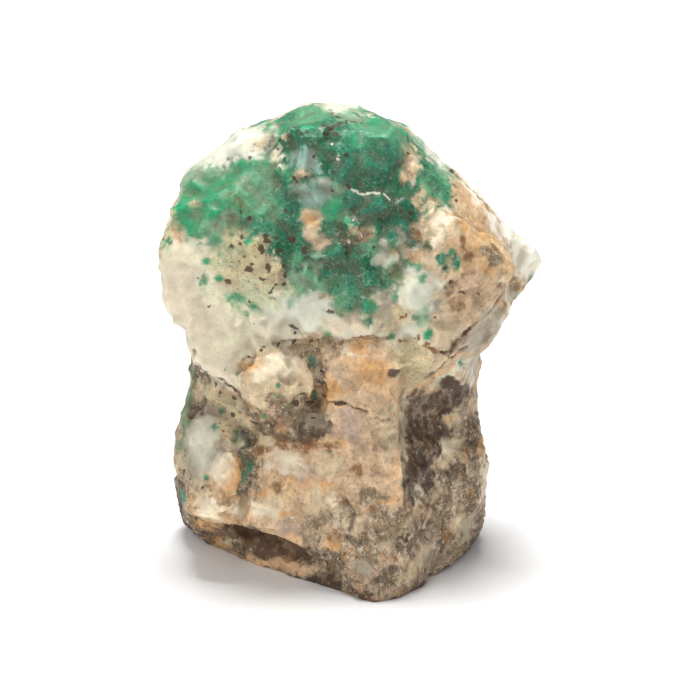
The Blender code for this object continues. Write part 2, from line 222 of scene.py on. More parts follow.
def ramp(values, low, high):
    """0 below low, 1 above high, and a smooth rise between."""
    t = np.clip((values - low) / (high - low), 0, 1)
    return t * t * (3 - 2 * t)


to_matrix, to_emerald = distance_to("matrix"), distance_to("emerald")
beryl_side = averaged(to_matrix - to_emerald, 2)
JOINT_WIDTH, JOINT_ROUNDS = 0.9 * MM, 40
near_joint = averaged(1 - ramp(np.maximum(to_matrix, to_emerald), 0.5 * JOINT_WIDTH, JOINT_WIDTH), 2)[:, None]
for _ in range(JOINT_ROUNDS):
    points = points * (1 - near_joint) + averaged(points) * near_joint
points = 0.5 * points + 0.5 * averaged(points)
normals = skin_normals(points, quads)
print("points by the joint:", int((near_joint > 0.5).sum()))


def hollowness(rounds, full_depth):
    """1 at the bottom of a hollow, -1 on a ridge."""
    depth = ((averaged(points, rounds) - points) * normals).sum(1)
    return np.clip(depth / full_depth, -1, 1)


CLEFT_ROUNDS, CLEFT_DEPTH, CLEFT_FILLING = 30, 0.5 * MM, 0.6
sharp_clefts = averaged(ramp(hollowness(CLEFT_ROUNDS, CLEFT_DEPTH), 0.35, 0.9), 4)[:, None]
filling = CLEFT_FILLING * sharp_clefts
points = points * (1 - filling) + averaged(points, CLEFT_ROUNDS) * filling
normals = skin_normals(points, quads)
narrow_hollows = hollowness(8, 0.06 * MM)
wide_hollows = hollowness(60, 0.5 * MM)
print("in a narrow hollow:", round(float((narrow_hollows > 0.5).mean()), 3), "of the surface")

# %% [markdown]
# ## Noise that belongs to the stone
#
# Every pattern is worked out from the place in space, not from the view, so it goes on round the back.
# Clouds give soft patches. Grains are cells round scattered seeds: each cell leans its own way and has
# its own shade, which is how broken crystal grains catch the light.

# %% Clouds and grains
SEED = 41
noise.seed_set(SEED)
places = [Vector(p) for p in points]


def cloud(size, pattern, octaves=3):
    """Soft noise from about -1 to 1, in patches that many metres wide. Each number is another pattern."""
    shift = Vector((pattern * 3.7, pattern * -1.9, pattern * 2.3))
    return np.array([noise.fractal(p / size + shift, 0.9, 2.0, octaves) for p in places])


def drift(size, amount, pattern):
    """A soft push of every point, for outlines that wander."""
    shift = Vector((pattern * 1.3, pattern * 4.1, pattern * -2.7))
    return np.array([noise.noise_vector(p / size + shift) for p in places]) * amount


def grains(size, pattern, wander=0.25):
    """Cells about that wide: each point's cell, its offset in it, and a drawer of random numbers for them."""
    rng = np.random.default_rng(SEED + pattern)
    count = int(SKIN_AREA / size ** 2)
    middles = points[rng.choice(len(points), count, replace=False)]
    tree = KDTree(count)
    for i, middle in enumerate(middles):
        tree.insert(middle, i)
    tree.balance()
    moved = points + drift(size * 0.7, size * wander, pattern)
    cell = np.array([tree.find(p)[1] for p in moved])
    return cell, moved - middles[cell], rng


def facets(cells, lean, step):
    """A height whose cells are leaning flats, each with its own level, and each cell's shade from 0 to 1."""
    cell, offset, rng = cells
    count = cell.max() + 1
    leaning = rng.normal(size=(count, 3)) * lean
    level = rng.uniform(-1, 1, count) * step
    height = (offset * leaning[cell]).sum(1) + level[cell]
    return height, rng.uniform(0, 1, count)[cell]


diagonals = np.cross(points[quads[:, 2]] - points[quads[:, 0]], points[quads[:, 3]] - points[quads[:, 1]])
SKIN_AREA = float(np.linalg.norm(diagonals, axis=1).sum() / 2)
wide_drift = drift(3.6 * MM, 1.5 * MM, 1)
middle_drift = drift(1.5 * MM, 0.75 * MM, 7)
fine_drift = drift(0.7 * MM, 0.40 * MM, 2) + drift(0.35 * MM, 0.18 * MM, 6)
fine_cells = grains(0.55 * MM, 3)
middle_cells = grains(1.0 * MM, 4)
coarse_cells = grains(2.6 * MM, 5)
print("skin of", round(SKIN_AREA / MM ** 2), "square mm,", len(set(fine_cells[0])), "fine grains")

# %% [markdown]
# ## The minerals
#
# Quartz, feldspar, beryl and mica make up the stone, each in several shades. A shade is a row with its
# colour in linear light, how clear it is, how rough its broken face is, how its surface breaks, which is
# in smooth curves, in flat-faced grains or in flakes, and how many flecks and speckles it has. The rows
# are kept as numbers side by side, so that laying one mineral over another blends all of them at once.

# %% Name the minerals
# colour, clearness, roughness, smooth relief, grainy relief, flaky relief, brown flecks, speckle
CLEAR, SHINE, SMOOTH, GRAINY, FLAKY, FLECKS, SPECKLE = range(3, 10)
MINERALS = {
    "plate quartz": ((0.70, 0.65, 0.48), 0.9, 0.50, 1.0, 0.10, 0.0, 0.15, 0.25),
    "pinkish quartz": ((0.68, 0.60, 0.45), 0.8, 0.50, 1.0, 0.06, 0.0, 0.05, 0.10),
    "pale crest": ((0.66, 0.66, 0.54), 0.9, 0.50, 0.8, 0.10, 0.0, 0.0, 0.10),
    "blue-white window": ((0.26, 0.38, 0.32), 1.0, 0.34, 0.8, 0.15, 0.0, 0.1, 0.30),
    "mauve feldspar": ((0.46, 0.34, 0.26), 0.4, 0.50, 0.5, 0.40, 0.0, 0.2, 0.30),
    "pale tip": ((0.90, 0.82, 0.69), 0.7, 0.50, 0.8, 0.05, 0.0, 0.0, 0.05),
    "amber feldspar": ((0.68, 0.475, 0.26), 0.3, 0.52, 0.4, 0.45, 0.0, 0.3, 0.60),
    "mossy quartz": ((0.52, 0.54, 0.34), 0.9, 0.48, 0.8, 0.15, 0.0, 0.9, 0.45),
    "moss beryl": ((0.13, 0.22, 0.10), 1.0, 0.45, 0.4, 0.25, 0.0, 0.6, 0.60),
    "cream knob": ((0.62, 0.49, 0.33), 0.6, 0.45, 0.6, 0.20, 0.0, 0.1, 0.20),
    "mica grain": ((0.10, 0.055, 0.035), 0.0, 0.38, 0.2, 0.40, 0.6, 0.0, 0.30),
    "white quartz": ((0.66, 0.66, 0.54), 1.0, 0.42, 0.8, 0.12, 0.0, 0.0, 0.10),
    "yellow quartz": ((0.56, 0.47, 0.28), 0.8, 0.50, 0.8, 0.20, 0.0, 1.3, 0.55),
    "grey quartz": ((0.38, 0.33, 0.24), 0.9, 0.42, 0.8, 0.25, 0.0, 0.3, 0.35),
    "blue-grey quartz": ((0.56, 0.54, 0.42), 0.9, 0.40, 0.8, 0.10, 0.0, 0.1, 0.15),
    "pale feldspar": ((0.78, 0.67, 0.49), 0.5, 0.50, 0.5, 0.35, 0.0, 0.1, 0.20),
    "cream feldspar": ((0.60, 0.47, 0.30), 0.4, 0.52, 0.4, 0.50, 0.0, 0.3, 0.40),
    "peach feldspar": ((0.64, 0.42, 0.235), 0.4, 0.54, 0.4, 0.50, 0.0, 0.3, 0.35),
    "pink feldspar": ((0.59, 0.415, 0.26), 0.4, 0.52, 0.4, 0.50, 0.0, 0.4, 0.55),
    "orange feldspar": ((0.60, 0.34, 0.14), 0.3, 0.55, 0.3, 0.60, 0.0, 0.3, 0.40),
    "rust": ((0.24, 0.115, 0.045), 0.0, 0.62, 0.2, 0.70, 0.0, 0.3, 0.50),
    "brown": ((0.070, 0.036, 0.02), 0.0, 0.62, 0.2, 0.50, 0.0, 0.0, 0.15),
    "stained rock": ((0.13, 0.075, 0.042), 0.0, 0.60, 0.2, 0.60, 0.0, 0.0, 0.30),
    "mica schist": ((0.062, 0.036, 0.022), 0.0, 0.55, 0.1, 0.35, 1.0, 0.2, 0.30),
    "grey grit": ((0.38, 0.28, 0.185), 0.1, 0.52, 0.1, 1.0, 0.2, 0.8, 0.90),
    "dark grit": ((0.14, 0.10, 0.065), 0.0, 0.54, 0.1, 1.0, 0.2, 0.6, 0.90),
    "olive grit": ((0.27, 0.20, 0.115), 0.1, 0.54, 0.1, 1.0, 0.1, 0.6, 0.80),
    "mint beryl": ((0.22, 0.36, 0.23), 1.0, 0.45, 0.4, 0.20, 0.0, 0.0, 0.40),
    "light beryl": ((0.095, 0.29, 0.15), 1.0, 0.45, 0.4, 0.20, 0.0, 0.1, 0.55),
    "vivid beryl": ((0.025, 0.30, 0.135), 1.0, 0.42, 0.4, 0.20, 0.0, 0.0, 0.35),
    "green beryl": ((0.034, 0.215, 0.115), 1.0, 0.40, 0.4, 0.30, 0.0, 0.3, 0.80),
    "teal beryl": ((0.026, 0.185, 0.11), 1.0, 0.40, 0.4, 0.30, 0.0, 0.2, 0.60),
    "deep beryl": ((0.014, 0.125, 0.066), 1.0, 0.36, 0.4, 0.35, 0.0, 0.2, 0.80),
}
quality = {name: np.array([*row[0], *row[1:]]) for name, row in MINERALS.items()}
skin = np.tile(quality["cream feldspar"], (len(points), 1))
print(len(MINERALS), "minerals")

# %% [markdown]
# ## The ground under the patches
#
# First every point of the stone gets a mineral from clouds of noise and from its height: pale quartz and
# feldspar above, grey grit and schist towards the foot, rust in between and green beryl near the crown.
# This is what the back, the sides and the underside show.

# %% Lay the ground minerals
def lay(mineral, share):
    """Covers the skin with a mineral, where share is 1."""
    global skin
    share = share[:, None]
    skin = skin * (1 - share) + quality[mineral] * share


height = points[:, 2] / MM
blotches = [cloud(7 * MM, 10), cloud(5 * MM, 11), cloud(6 * MM, 12)]
small_blotches = [cloud(2.4 * MM, 13), cloud(1.8 * MM, 14), cloud(1.5 * MM, 15)]


def above(level, spread):
    """Rises through 0 at a height of the stone. Both are in millimetres."""
    return (height - level) / spread


green = small_blotches[1] * 0.7 + blotches[0] * 0.5 + above(35, 34)
# mineral, pattern, the values of the pattern between which it fades in, and how fully it covers
GROUND = [
    ("peach feldspar", blotches[0], 0.0, 0.15, 1),
    ("plate quartz", blotches[1] + above(26, 30), 0.0, 0.12, 1),
    ("pink feldspar", small_blotches[0] + blotches[2] * 0.4, 0.25, 0.35, 1),
    ("white quartz", small_blotches[1] + above(30, 50), 0.30, 0.38, 1),
    ("grey grit", blotches[2] * 1.3 - above(15, 12) + small_blotches[0] * 0.6, 0.0, 0.3, 1),
    ("olive grit", small_blotches[2] - above(12, 14), 0.30, 0.4, 1),
    ("dark grit", blotches[0] + small_blotches[1] * 0.7 - above(9, 11), 0.35, 0.6, 1),
    ("mica schist", blotches[1] - above(10, 11) + small_blotches[0] * 0.5, 0.55, 0.75, 1),
    ("rust", small_blotches[0] - small_blotches[2] * 0.5, 0.48, 0.66, 0.7),
    ("light beryl", green, 0.34, 0.46, 1),
    ("green beryl", green, 0.46, 0.60, 1),
]
for mineral, pattern, low, high, cover in GROUND:
    lay(mineral, cover * ramp(pattern, low, high))
print("ground laid, mean height", round(float(height.mean()), 1), "mm")

# %% [markdown]
# ## The patches of the front
#
# The front has its own patches, which make this stone this stone. Each is written as a place in the
# picture, a half width, a half height and a turn, all as seen by the camera. A ray from the camera finds
# where the place lies on the skin, and the patch is a blob in space round that point, so nothing is
# smeared along the view. Its outline wanders with the noise. Wide zones come first, then patches, then
# single grains and flecks on top.

# %% A patch of mineral
flat_skin = [list(q) for q in quads.tolist()]
surface = BVHTree.FromPolygons([list(p) for p in points.tolist()], flat_skin)
VIEW_AXES = np.array([picture_right, picture_up, towards_eye])
WIDE_REACH, MIDDLE_REACH, FINE_REACH = 6.0 * MM, 1.6 * MM, 0.7 * MM  # these feel each drift in full
THICKNESS, THICKNESS_SPARE = 1.6, 0.3 * MM  # a blob's half depth along the view, as a share of its reach
SEARCH_REACH, SEARCH_SPARE = 2.24, 1.8 * MM  # how far round a blob's middle its points are looked for
GRAIN_DITHER = 0.9  # how much of a soft edge is broken up by single grains
CLEAR_BLUR = 2  # a clear mineral's edge is softer by this many times
WIDEST_EDGE = 1.2  # an edge is no wider than this share of the patch
grain_pick = np.random.default_rng(SEED).uniform(-0.5, 0.5, fine_cells[0].max() + 1)[fine_cells[0]]
missed = []


def place_on_skin(x, y):
    """The point of the skin that the camera sees at a place of the picture."""
    half = PICTURE / 2
    aim = VIEW_TARGET + picture_right * (x - half) * PIXEL + picture_up * (half - y) * PIXEL
    hit = surface.ray_cast(eye, (aim - eye).normalized())[0]
    return None if hit is None else np.array(hit)


def inside(spot, wander):
    """The points that a patch may touch, and how deep inside each lies: 1 at its middle, 0 on its outline."""
    x, y, half_width, half_height, turn = (*spot, 0)[:5]
    middle = place_on_skin(x, y)
    if middle is None:
        missed.append((x, y))
        return None
    reach = max(half_width, half_height) * PIXEL
    near = np.flatnonzero(((points - middle) ** 2).sum(1) < (reach * SEARCH_REACH + SEARCH_SPARE) ** 2)
    push = (wide_drift[near] * min(1.0, reach / WIDE_REACH) ** 2
            + middle_drift[near] * min(1.0, reach / MIDDLE_REACH)
            + fine_drift[near] * min(1.0, reach / FINE_REACH))
    right, up, towards = ((points[near] - middle + push * wander) @ VIEW_AXES.T).T
    angle = math.radians(turn)
    along = right * math.cos(angle) - up * math.sin(angle)
    across = right * math.sin(angle) + up * math.cos(angle)
    far = np.sqrt((along / (half_width * PIXEL)) ** 2 + (across / (half_height * PIXEL)) ** 2
                  + (towards / (reach * THICKNESS + THICKNESS_SPARE)) ** 2)
    return near, 1 - far


def paint(patches, wander, softness):
    """Lays each mineral's patches. Their edges are as soft as said, and broken up grain by grain."""
    for mineral, spots in patches:
        blurred = softness * (1 + CLEAR_BLUR * quality[mineral][CLEAR])
        for spot in spots:
            found = inside(spot, wander)
            if found:
                near, depth = found
                half_size = min(spot[2:4]) * PIXEL
                depth = depth * half_size
                edge = min(blurred, WIDEST_EDGE * half_size)
                share = ramp(depth + grain_pick[near] * GRAIN_DITHER * edge, -edge / 2, edge / 2)
                skin[near] = skin[near] * (1 - share[:, None]) + quality[mineral] * share[:, None]


mark = np.zeros((len(points), 3))
mark_share = np.zeros(len(points))
MARK_SLOPE = 1.2
MARK_TRIM = 0.10  # flecks are this share smaller than drawn


def keep_mark(near, share, mineral):
    """A mark covers what is under it where it is stronger."""
    stronger = share > mark_share[near]
    mark[near[stronger]] = quality[mineral][:3]
    mark_share[near] = np.maximum(mark_share[near], share)


def stamp(patches, wander):
    """Keeps flecks as a colour and a slope round their edge, which the shader cuts crisply."""
    for mineral, spots in patches:
        for spot in spots:
            found = inside(spot, wander)
            if found:
                near, depth = found
                keep_mark(near, ramp(depth - MARK_TRIM, -MARK_SLOPE / 2, MARK_SLOPE / 2), mineral)


def along_line(line, reach, wander=0.5):
    """The points within reach of a line that is drawn over the skin, and their distance from it."""
    corners = [c for c in (place_on_skin(x, y) for x, y in line) if c is not None]
    distance = np.full(len(points), np.inf)
    for start, end in zip(corners, corners[1:]):
        length = np.linalg.norm(end - start)
        near = np.flatnonzero(((points - (start + end) / 2) ** 2).sum(1) < (length / 2 + 2 * reach) ** 2)
        from_start = points[near] + fine_drift[near] * wander - start
        share = np.clip(from_start @ (end - start) / length ** 2, 0, 1)
        away = np.linalg.norm(from_start - share[:, None] * (end - start), axis=1)
        distance[near] = np.minimum(distance[near], away)
    near = np.flatnonzero(distance < reach)
    return near, distance[near]


groove = np.zeros(len(points))
LINE_FLOOR = 0.2  # the share of a line's width that is flat at its bottom
LINE_COVER = 0.8  # how much of the mineral below a line hides, under a crack's dirt or a painted shadow


def darken_cracks_and_shadow_lines(crack_and_shadow_lines):
    """Darkens and deepens the skin along each line, for cracks with dirt and for painted shadows along edges.
    Widths are in pixels, depths in millimetres.
    """
    for mineral, half_width, depth, line in crack_and_shadow_lines:
        reach = 2 * half_width * PIXEL
        near, away = along_line(line, reach)
        share = 1 - ramp(away, LINE_FLOOR * reach, reach)
        cover = LINE_COVER * share[:, None]
        skin[near] = skin[near] * (1 - cover) + quality[mineral] * cover
        groove[near] = np.maximum(groove[near], share * depth * MM)


print("rays are cast on", len(flat_skin), "faces")

# %% Wide zones of the front, in pixels: middle, half width, half height, turn
ZONES = [
    ("plate quartz", [(232, 292, 82, 60, 5), (285, 318, 60, 35), (218, 350, 40, 45, 20),
        (385, 318, 75, 38)]),
    ("pinkish quartz", [(176, 290, 20, 36), (196, 328, 22, 24, 20), (222, 376, 30, 18, 10)]),
    ("yellow quartz", [(243, 262, 32, 26), (268, 278, 30, 20)]),
    ("mossy quartz", [(262, 296, 28, 14, 10), (226, 262, 10, 8), (300, 296, 16, 10)]),
    ("white quartz", [(301, 312, 30, 18), (345, 322, 15, 18), (422, 294, 16, 18, 30),
        (436, 312, 14, 16)]),
    ("amber feldspar", [(482, 244, 42, 52, 25), (476, 298, 32, 44), (470, 200, 26, 26, 40)]),
    ("cream feldspar", [(438, 228, 24, 22), (456, 200, 16, 14), (448, 300, 22, 30)]),
    ("pink feldspar", [(478, 290, 24, 26), (456, 330, 26, 22)]),
    ("pale tip", [(528, 258, 28, 18, 35), (500, 225, 16, 10, 40), (474, 192, 18, 8, 48)]),
    ("amber feldspar", [(512, 270, 14, 12, 10)]),
    ("grey quartz", [(483, 330, 20, 26, 20), (474, 362, 13, 18)]),
    ("cream feldspar", [(271, 382, 37, 36), (290, 420, 28, 16)]),
    ("peach feldspar", [(369, 378, 36, 42), (332, 396, 26, 24), (350, 440, 50, 40)]),
    ("yellow quartz", [(413, 366, 20, 20), (392, 318, 18, 16)]),
    ("olive grit", [(316, 350, 24, 20), (300, 420, 34, 18)]),
    ("pink feldspar", [(365, 440, 36, 38), (350, 486, 38, 32), (300, 480, 40, 44), (290, 520, 44, 26)]),
    ("grey quartz", [(200, 443, 22, 46)]),
    ("peach feldspar", [(222, 478, 18, 20), (240, 450, 12, 24), (206, 514, 18, 24), (240, 510, 18, 16)]),
    ("grey grit", [(385, 556, 50, 44), (330, 530, 34, 26), (430, 540, 44, 44), (300, 565, 30, 12),
        (460, 480, 34, 60), (462, 420, 24, 40)]),
    ("mica schist", [(424, 428, 27, 42), (420, 478, 17, 26), (450, 392, 20, 14)]),
    ("dark grit", [(245, 535, 36, 14, 8), (292, 552, 34, 12, 8)]),
]
print(sum(len(spots) for _, spots in ZONES), "zones")

# %% Patches of the front
PATCHES = [
    # crest and top
    ("pale crest", [(236, 150, 40, 24, -32), (200, 166, 22, 14, -20), (252, 134, 16, 10)]),
    ("yellow quartz", [(259, 143, 9, 8), (248, 163, 6, 6)]),
    ("white quartz", [(335, 107, 20, 9, 12), (355, 117, 14, 7, 10), (426, 150, 14, 18, 40),
        (440, 165, 12, 10, 45)]),
    ("grey quartz", [(284, 122, 11, 10)]),
    # green of the left
    ("light beryl", [(214, 190, 42, 26, -5), (185, 208, 18, 26), (228, 214, 48, 22, 5),
        (255, 190, 34, 30), (234, 228, 40, 14, 6), (225, 240, 18, 10, 20)]),
    ("vivid beryl", [(207, 188, 18, 20), (227, 184, 10, 12), (190, 196, 11, 11), (181, 213, 9, 11),
        (212, 210, 24, 8, 5), (190, 224, 5, 8), (246, 168, 14, 7, -12), (258, 163, 9, 8, -30),
        (270, 162, 7, 7), (236, 216, 8, 5), (264, 188, 12, 9), (232, 176, 12, 6)]),
    ("mint beryl", [(230, 222, 10, 12), (222, 170, 12, 4), (194, 176, 14, 8), (270, 206, 14, 12),
        (202, 176, 16, 5), (222, 228, 14, 9)]),
    ("moss beryl", [(252, 230, 24, 12), (270, 240, 16, 10), (246, 200, 12, 10)]),
    ("yellow quartz", [(250, 182, 8, 5), (194, 206, 5, 5), (240, 240, 22, 7), (170, 215, 5, 30, 8)]),
    ("light beryl", [(270, 190, 26, 30)]),
    ("green beryl", [(290, 200, 16, 34), (262, 226, 16, 10), (292, 216, 14, 24), (300, 120, 24, 20)]),
    ("deep beryl", [(275, 143, 9, 6, 10), (268, 150, 5, 5)]),
    ("mint beryl", [(273, 133, 8, 4, 10)]),
    ("vivid beryl", [(269, 125, 6, 5, -50), (280, 131, 6, 4)]),
    # green of the middle and right
    ("green beryl", [(330, 150, 44, 40), (380, 165, 52, 56, 10), (405, 210, 40, 36), (345, 225, 44, 44),
        (330, 262, 30, 30), (370, 270, 30, 26), (432, 185, 26, 24, 30), (300, 245, 26, 24)]),
    ("light beryl", [(304, 118, 16, 14, -20), (316, 112, 14, 8), (372, 125, 28, 12, 25),
        (398, 137, 22, 10, 35), (444, 178, 13, 12), (392, 140, 24, 14, 20), (336, 208, 20, 10, 10)]),
    ("deep beryl", [(310, 128, 8, 7), (297, 133, 6, 5), (338, 223, 8, 5, 15), (300, 142, 10, 5)]),
    ("vivid beryl", [(310, 129, 6, 5), (340, 218, 14, 5, 20), (356, 142, 6, 6), (384, 138, 8, 7),
        (404, 132, 5, 4), (374, 121, 7, 5), (330, 205, 8, 7), (402, 196, 8, 10)]),
    ("mint beryl", [(416, 140, 9, 8, 40), (348, 118, 10, 5), (392, 122, 8, 5, 20), (445, 172, 7, 6, 30)]),
    ("teal beryl", [(372, 205, 28, 18), (388, 160, 16, 20), (352, 170, 20, 22), (398, 230, 20, 16)]),
    ("deep beryl", [(384, 178, 16, 12), (400, 205, 12, 14), (366, 188, 12, 7), (378, 220, 20, 8),
        (414, 210, 8, 10), (356, 204, 10, 6), (287, 232, 10, 9), (292, 205, 10, 14), (322, 160, 14, 10),
        (328, 172, 8, 10), (300, 200, 10, 8), (286, 250, 12, 12), (326, 134, 14, 8, -20),
        (290, 152, 8, 10), (340, 264, 20, 14), (372, 262, 18, 12), (320, 252, 14, 14), (356, 236, 16, 10),
        (420, 238, 16, 10), (314, 272, 12, 12)]),
    ("moss beryl", [(348, 296, 22, 18), (366, 312, 12, 12), (330, 284, 12, 10), (396, 272, 16, 8)]),
    ("green beryl", [(340, 290, 12, 12), (356, 292, 12, 12), (366, 306, 8, 8), (350, 306, 7, 7)]),
    ("grey quartz", [(388, 306, 10, 14), (352, 318, 10, 8)]),
    ("light beryl", [(306, 283, 13, 18), (300, 264, 8, 7), (376, 246, 14, 8), (324, 192, 14, 9)]),
    ("mint beryl", [(300, 275, 7, 9), (316, 270, 5, 12, 10), (340, 188, 5, 4)]),
    ("deep beryl", [(426, 172, 3, 22, 20), (430, 174, 3, 18, -42), (433, 190, 3, 12, 40)]),
    ("light beryl", [(424, 186, 5, 12, 15), (432, 184, 6, 8)]),
    # pale windows in the green
    ("blue-white window", [(305, 161, 13, 12), (310, 195, 14, 8), (322, 186, 9, 11), (300, 190, 8, 6)]),
    ("white quartz", [(323, 181, 6, 6, -30), (311, 231, 6, 11), (401, 238, 4, 8, 10), (411, 182, 3, 7)]),
    ("cream feldspar", [(303, 174, 8, 5), (311, 226, 9, 17), (308, 217, 7, 7), (318, 243, 7, 7)]),
    ("orange feldspar", [(309, 219, 5, 4), (404, 178, 4, 4)]),
    ("cream feldspar", [(410, 170, 9, 13), (412, 158, 7, 6), (419, 203, 5, 7), (421, 195, 3, 7, 15)]),
    ("yellow quartz", [(432, 202, 11, 6, -20), (408, 150, 10, 5, 10), (360, 232, 9, 5)]),
    ("white quartz", [(384, 258, 9, 7, 30), (383, 243, 4, 4), (396, 258, 6, 5, 30),
        (411, 273, 7, 5, 30)]),
    ("olive grit", [(420, 234, 12, 9), (362, 238, 12, 6)]),
    # shoulder and tip
    ("cream feldspar", [(436, 222, 16, 12, -30), (466, 225, 12, 10), (430, 262, 8, 8)]),
    ("pale feldspar", [(441, 218, 12, 8, -30), (440, 240, 8, 8)]),
    ("peach feldspar", [(462, 196, 14, 10, 40), (480, 222, 10, 8, 20), (452, 244, 8, 8),
        (488, 264, 12, 10)]),
    ("amber feldspar", [(474, 240, 18, 14, 10), (466, 262, 12, 10), (496, 244, 10, 8, 30)]),
    ("peach feldspar", [(470, 236, 12, 9, 20), (478, 262, 9, 8), (495, 278, 9, 6), (458, 302, 12, 12)]),
    ("orange feldspar", [(464, 224, 8, 10, 20), (484, 236, 12, 6, 10), (470, 252, 12, 7),
        (488, 270, 8, 6)]),
    ("rust", [(495, 250, 6, 7), (468, 256, 6, 5), (455, 304, 9, 6), (448, 288, 6, 7), (500, 288, 6, 4),
        (470, 274, 7, 5), (463, 240, 3, 6), (482, 292, 6, 4, 30)]),
    ("olive grit", [(496, 258, 8, 9), (486, 250, 6, 5)]),
    ("amber feldspar", [(512, 272, 13, 11, 10)]),
    ("pale tip", [(530, 256, 24, 16, 38), (507, 236, 10, 7, 40), (492, 218, 8, 5, 45),
        (536, 266, 10, 10)]),
    ("pink feldspar", [(480, 284, 16, 12, -20), (492, 296, 12, 8, -30), (470, 318, 10, 8)]),
    # quartz under the green
    ("white quartz", [(424, 298, 11, 16, 15), (436, 286, 8, 6), (316, 305, 16, 14), (408, 334, 8, 9)]),
    ("mint beryl", [(424, 316, 7, 8), (340, 300, 6, 8)]),
    ("grey quartz", [(386, 312, 9, 16, 15), (440, 302, 8, 5)]),
    ("pale feldspar", [(362, 324, 14, 8), (338, 326, 10, 9), (300, 340, 12, 6)]),
    ("cream knob", [(449, 331, 17, 16)]),
    ("yellow quartz", [(408, 350, 14, 12), (416, 378, 12, 8), (402, 312, 10, 7)]),
    # blocks
    ("pale feldspar", [(281, 368, 20, 15, -15), (262, 372, 10, 8), (290, 356, 10, 8), (352, 348, 12, 9)]),
    ("orange feldspar", [(250, 366, 11, 6, -20), (372, 373, 17, 13), (328, 390, 14, 11),
        (362, 345, 16, 8)]),
    ("olive grit", [(278, 401, 15, 9, 20), (262, 412, 14, 7), (300, 412, 14, 8), (308, 350, 12, 14)]),
    ("pink feldspar", [(366, 402, 24, 12, 10), (329, 360, 11, 11), (340, 374, 10, 10),
        (380, 350, 12, 12)]),
    ("grey quartz", [(316, 421, 15, 11, 10), (328, 368, 5, 5), (345, 418, 12, 7, 10)]),
    ("pink feldspar", [(360, 425, 30, 14, 12), (374, 450, 20, 20), (346, 470, 18, 22)]),
    ("mauve feldspar", [(304, 472, 12, 8, 20), (350, 416, 10, 7), (284, 530, 12, 9), (352, 430, 10, 12)]),
    ("cream feldspar", [(330, 465, 12, 11), (388, 432, 12, 24), (318, 500, 14, 16), (272, 500, 18, 12)]),
    ("amber feldspar", [(290, 494, 22, 8, 10), (268, 478, 12, 8), (262, 452, 8, 8), (325, 530, 10, 8)]),
    ("pinkish quartz", [(286, 462, 18, 9, 30), (268, 512, 14, 6)]),
    ("orange feldspar", [(312, 446, 14, 7), (287, 512, 8, 5), (340, 443, 6, 5), (332, 544, 7, 5)]),
    ("rust", [(306, 447, 16, 6), (332, 446, 8, 5), (276, 488, 6, 5), (318, 384, 6, 5), (344, 506, 8, 9),
        (262, 450, 8, 5), (283, 446, 7, 5), (356, 470, 7, 5), (372, 508, 8, 6), (334, 534, 8, 6)]),
    ("orange feldspar", [(300, 482, 14, 5, 5), (264, 492, 8, 6), (330, 486, 10, 4, 10),
        (384, 500, 8, 5)]),
    ("pale feldspar", [(330, 498, 5, 3), (256, 508, 7, 5), (338, 506, 4, 3)]),
    ("dark grit", [(300, 434, 20, 7), (282, 415, 10, 6), (262, 428, 12, 5, 10), (318, 432, 10, 4)]),
    ("olive grit", [(370, 497, 16, 8), (386, 530, 12, 8), (322, 520, 12, 8), (350, 510, 14, 8)]),
    # left sliver and rib
    ("moss beryl", [(185, 432, 4, 26, 6), (191, 388, 5, 30, 8)]),
    ("blue-grey quartz", [(204, 445, 15, 30), (232, 404, 8, 4)]),
    ("yellow quartz", [(232, 422, 16, 18), (222, 398, 16, 9, 10)]),
    ("dark grit", [(200, 372, 6, 16, 15), (198, 406, 6, 8), (246, 458, 9, 30, -6), (198, 534, 9, 5)]),
    ("green beryl", [(246, 462, 4, 18, -6), (184, 497, 5, 10)]),
    ("pale feldspar", [(222, 468, 9, 14, 30), (234, 446, 8, 9), (207, 508, 14, 14), (234, 508, 8, 9)]),
    ("orange feldspar", [(214, 528, 16, 6), (234, 484, 4, 20, 8), (219, 544, 14, 5, 10),
        (202, 520, 7, 8)]),
    # foot and cavity
    ("stained rock", [(240, 532, 24, 10, 10), (286, 549, 26, 9, 10), (232, 524, 14, 6),
        (262, 541, 32, 11, 18)]),
    ("peach feldspar", [(274, 562, 44, 6, 8), (288, 538, 16, 5, 20)]),
    ("dark grit", [(357, 540, 12, 9), (387, 578, 14, 8), (340, 560, 12, 8), (412, 550, 10, 8)]),
    ("olive grit", [(388, 530, 12, 9), (372, 556, 10, 8), (440, 500, 14, 18, 30), (455, 546, 14, 12)]),
    ("cream feldspar", [(406, 575, 7, 5), (430, 552, 18, 9), (352, 524, 10, 8), (398, 560, 8, 7)]),
    ("grey quartz", [(430, 556, 12, 7), (360, 568, 10, 7), (464, 528, 7, 12, -20)]),
    # schist and the rock beside it
    ("mica schist", [(420, 416, 22, 28), (416, 450, 16, 34), (452, 400, 14, 14), (418, 484, 12, 16)]),
    ("brown", [(462, 388, 9, 7), (448, 380, 8, 5), (456, 344, 12, 4, -45)]),
    ("cream feldspar", [(452, 420, 11, 9, -30), (450, 450, 13, 12, -20), (440, 462, 9, 6),
        (472, 404, 6, 9)]),
    ("orange feldspar", [(448, 419, 4, 4), (482, 450, 5, 12), (484, 350, 4, 10)]),
    ("dark grit", [(456, 472, 12, 10), (424, 524, 5, 14, 30), (474, 440, 7, 20), (477, 528, 8, 12, -20),
        (446, 492, 5, 16, 20), (470, 498, 5, 16, 15), (402, 540, 5, 14, 25), (440, 546, 6, 12, 30)]),
    ("cream feldspar", [(436, 500, 4, 16, 30), (458, 520, 5, 14, 25), (420, 508, 4, 14, 35),
        (414, 566, 9, 6)]),
    ("rust", [(426, 506, 3, 10, 30), (448, 536, 4, 8), (392, 560, 6, 5), (466, 452, 4, 6)]),
    ("pale feldspar", [(418, 492, 9, 4, 50), (484, 480, 5, 22), (404, 430, 3, 36), (450, 448, 7, 6)]),
]
print(sum(len(spots) for _, spots in PATCHES), "patches")

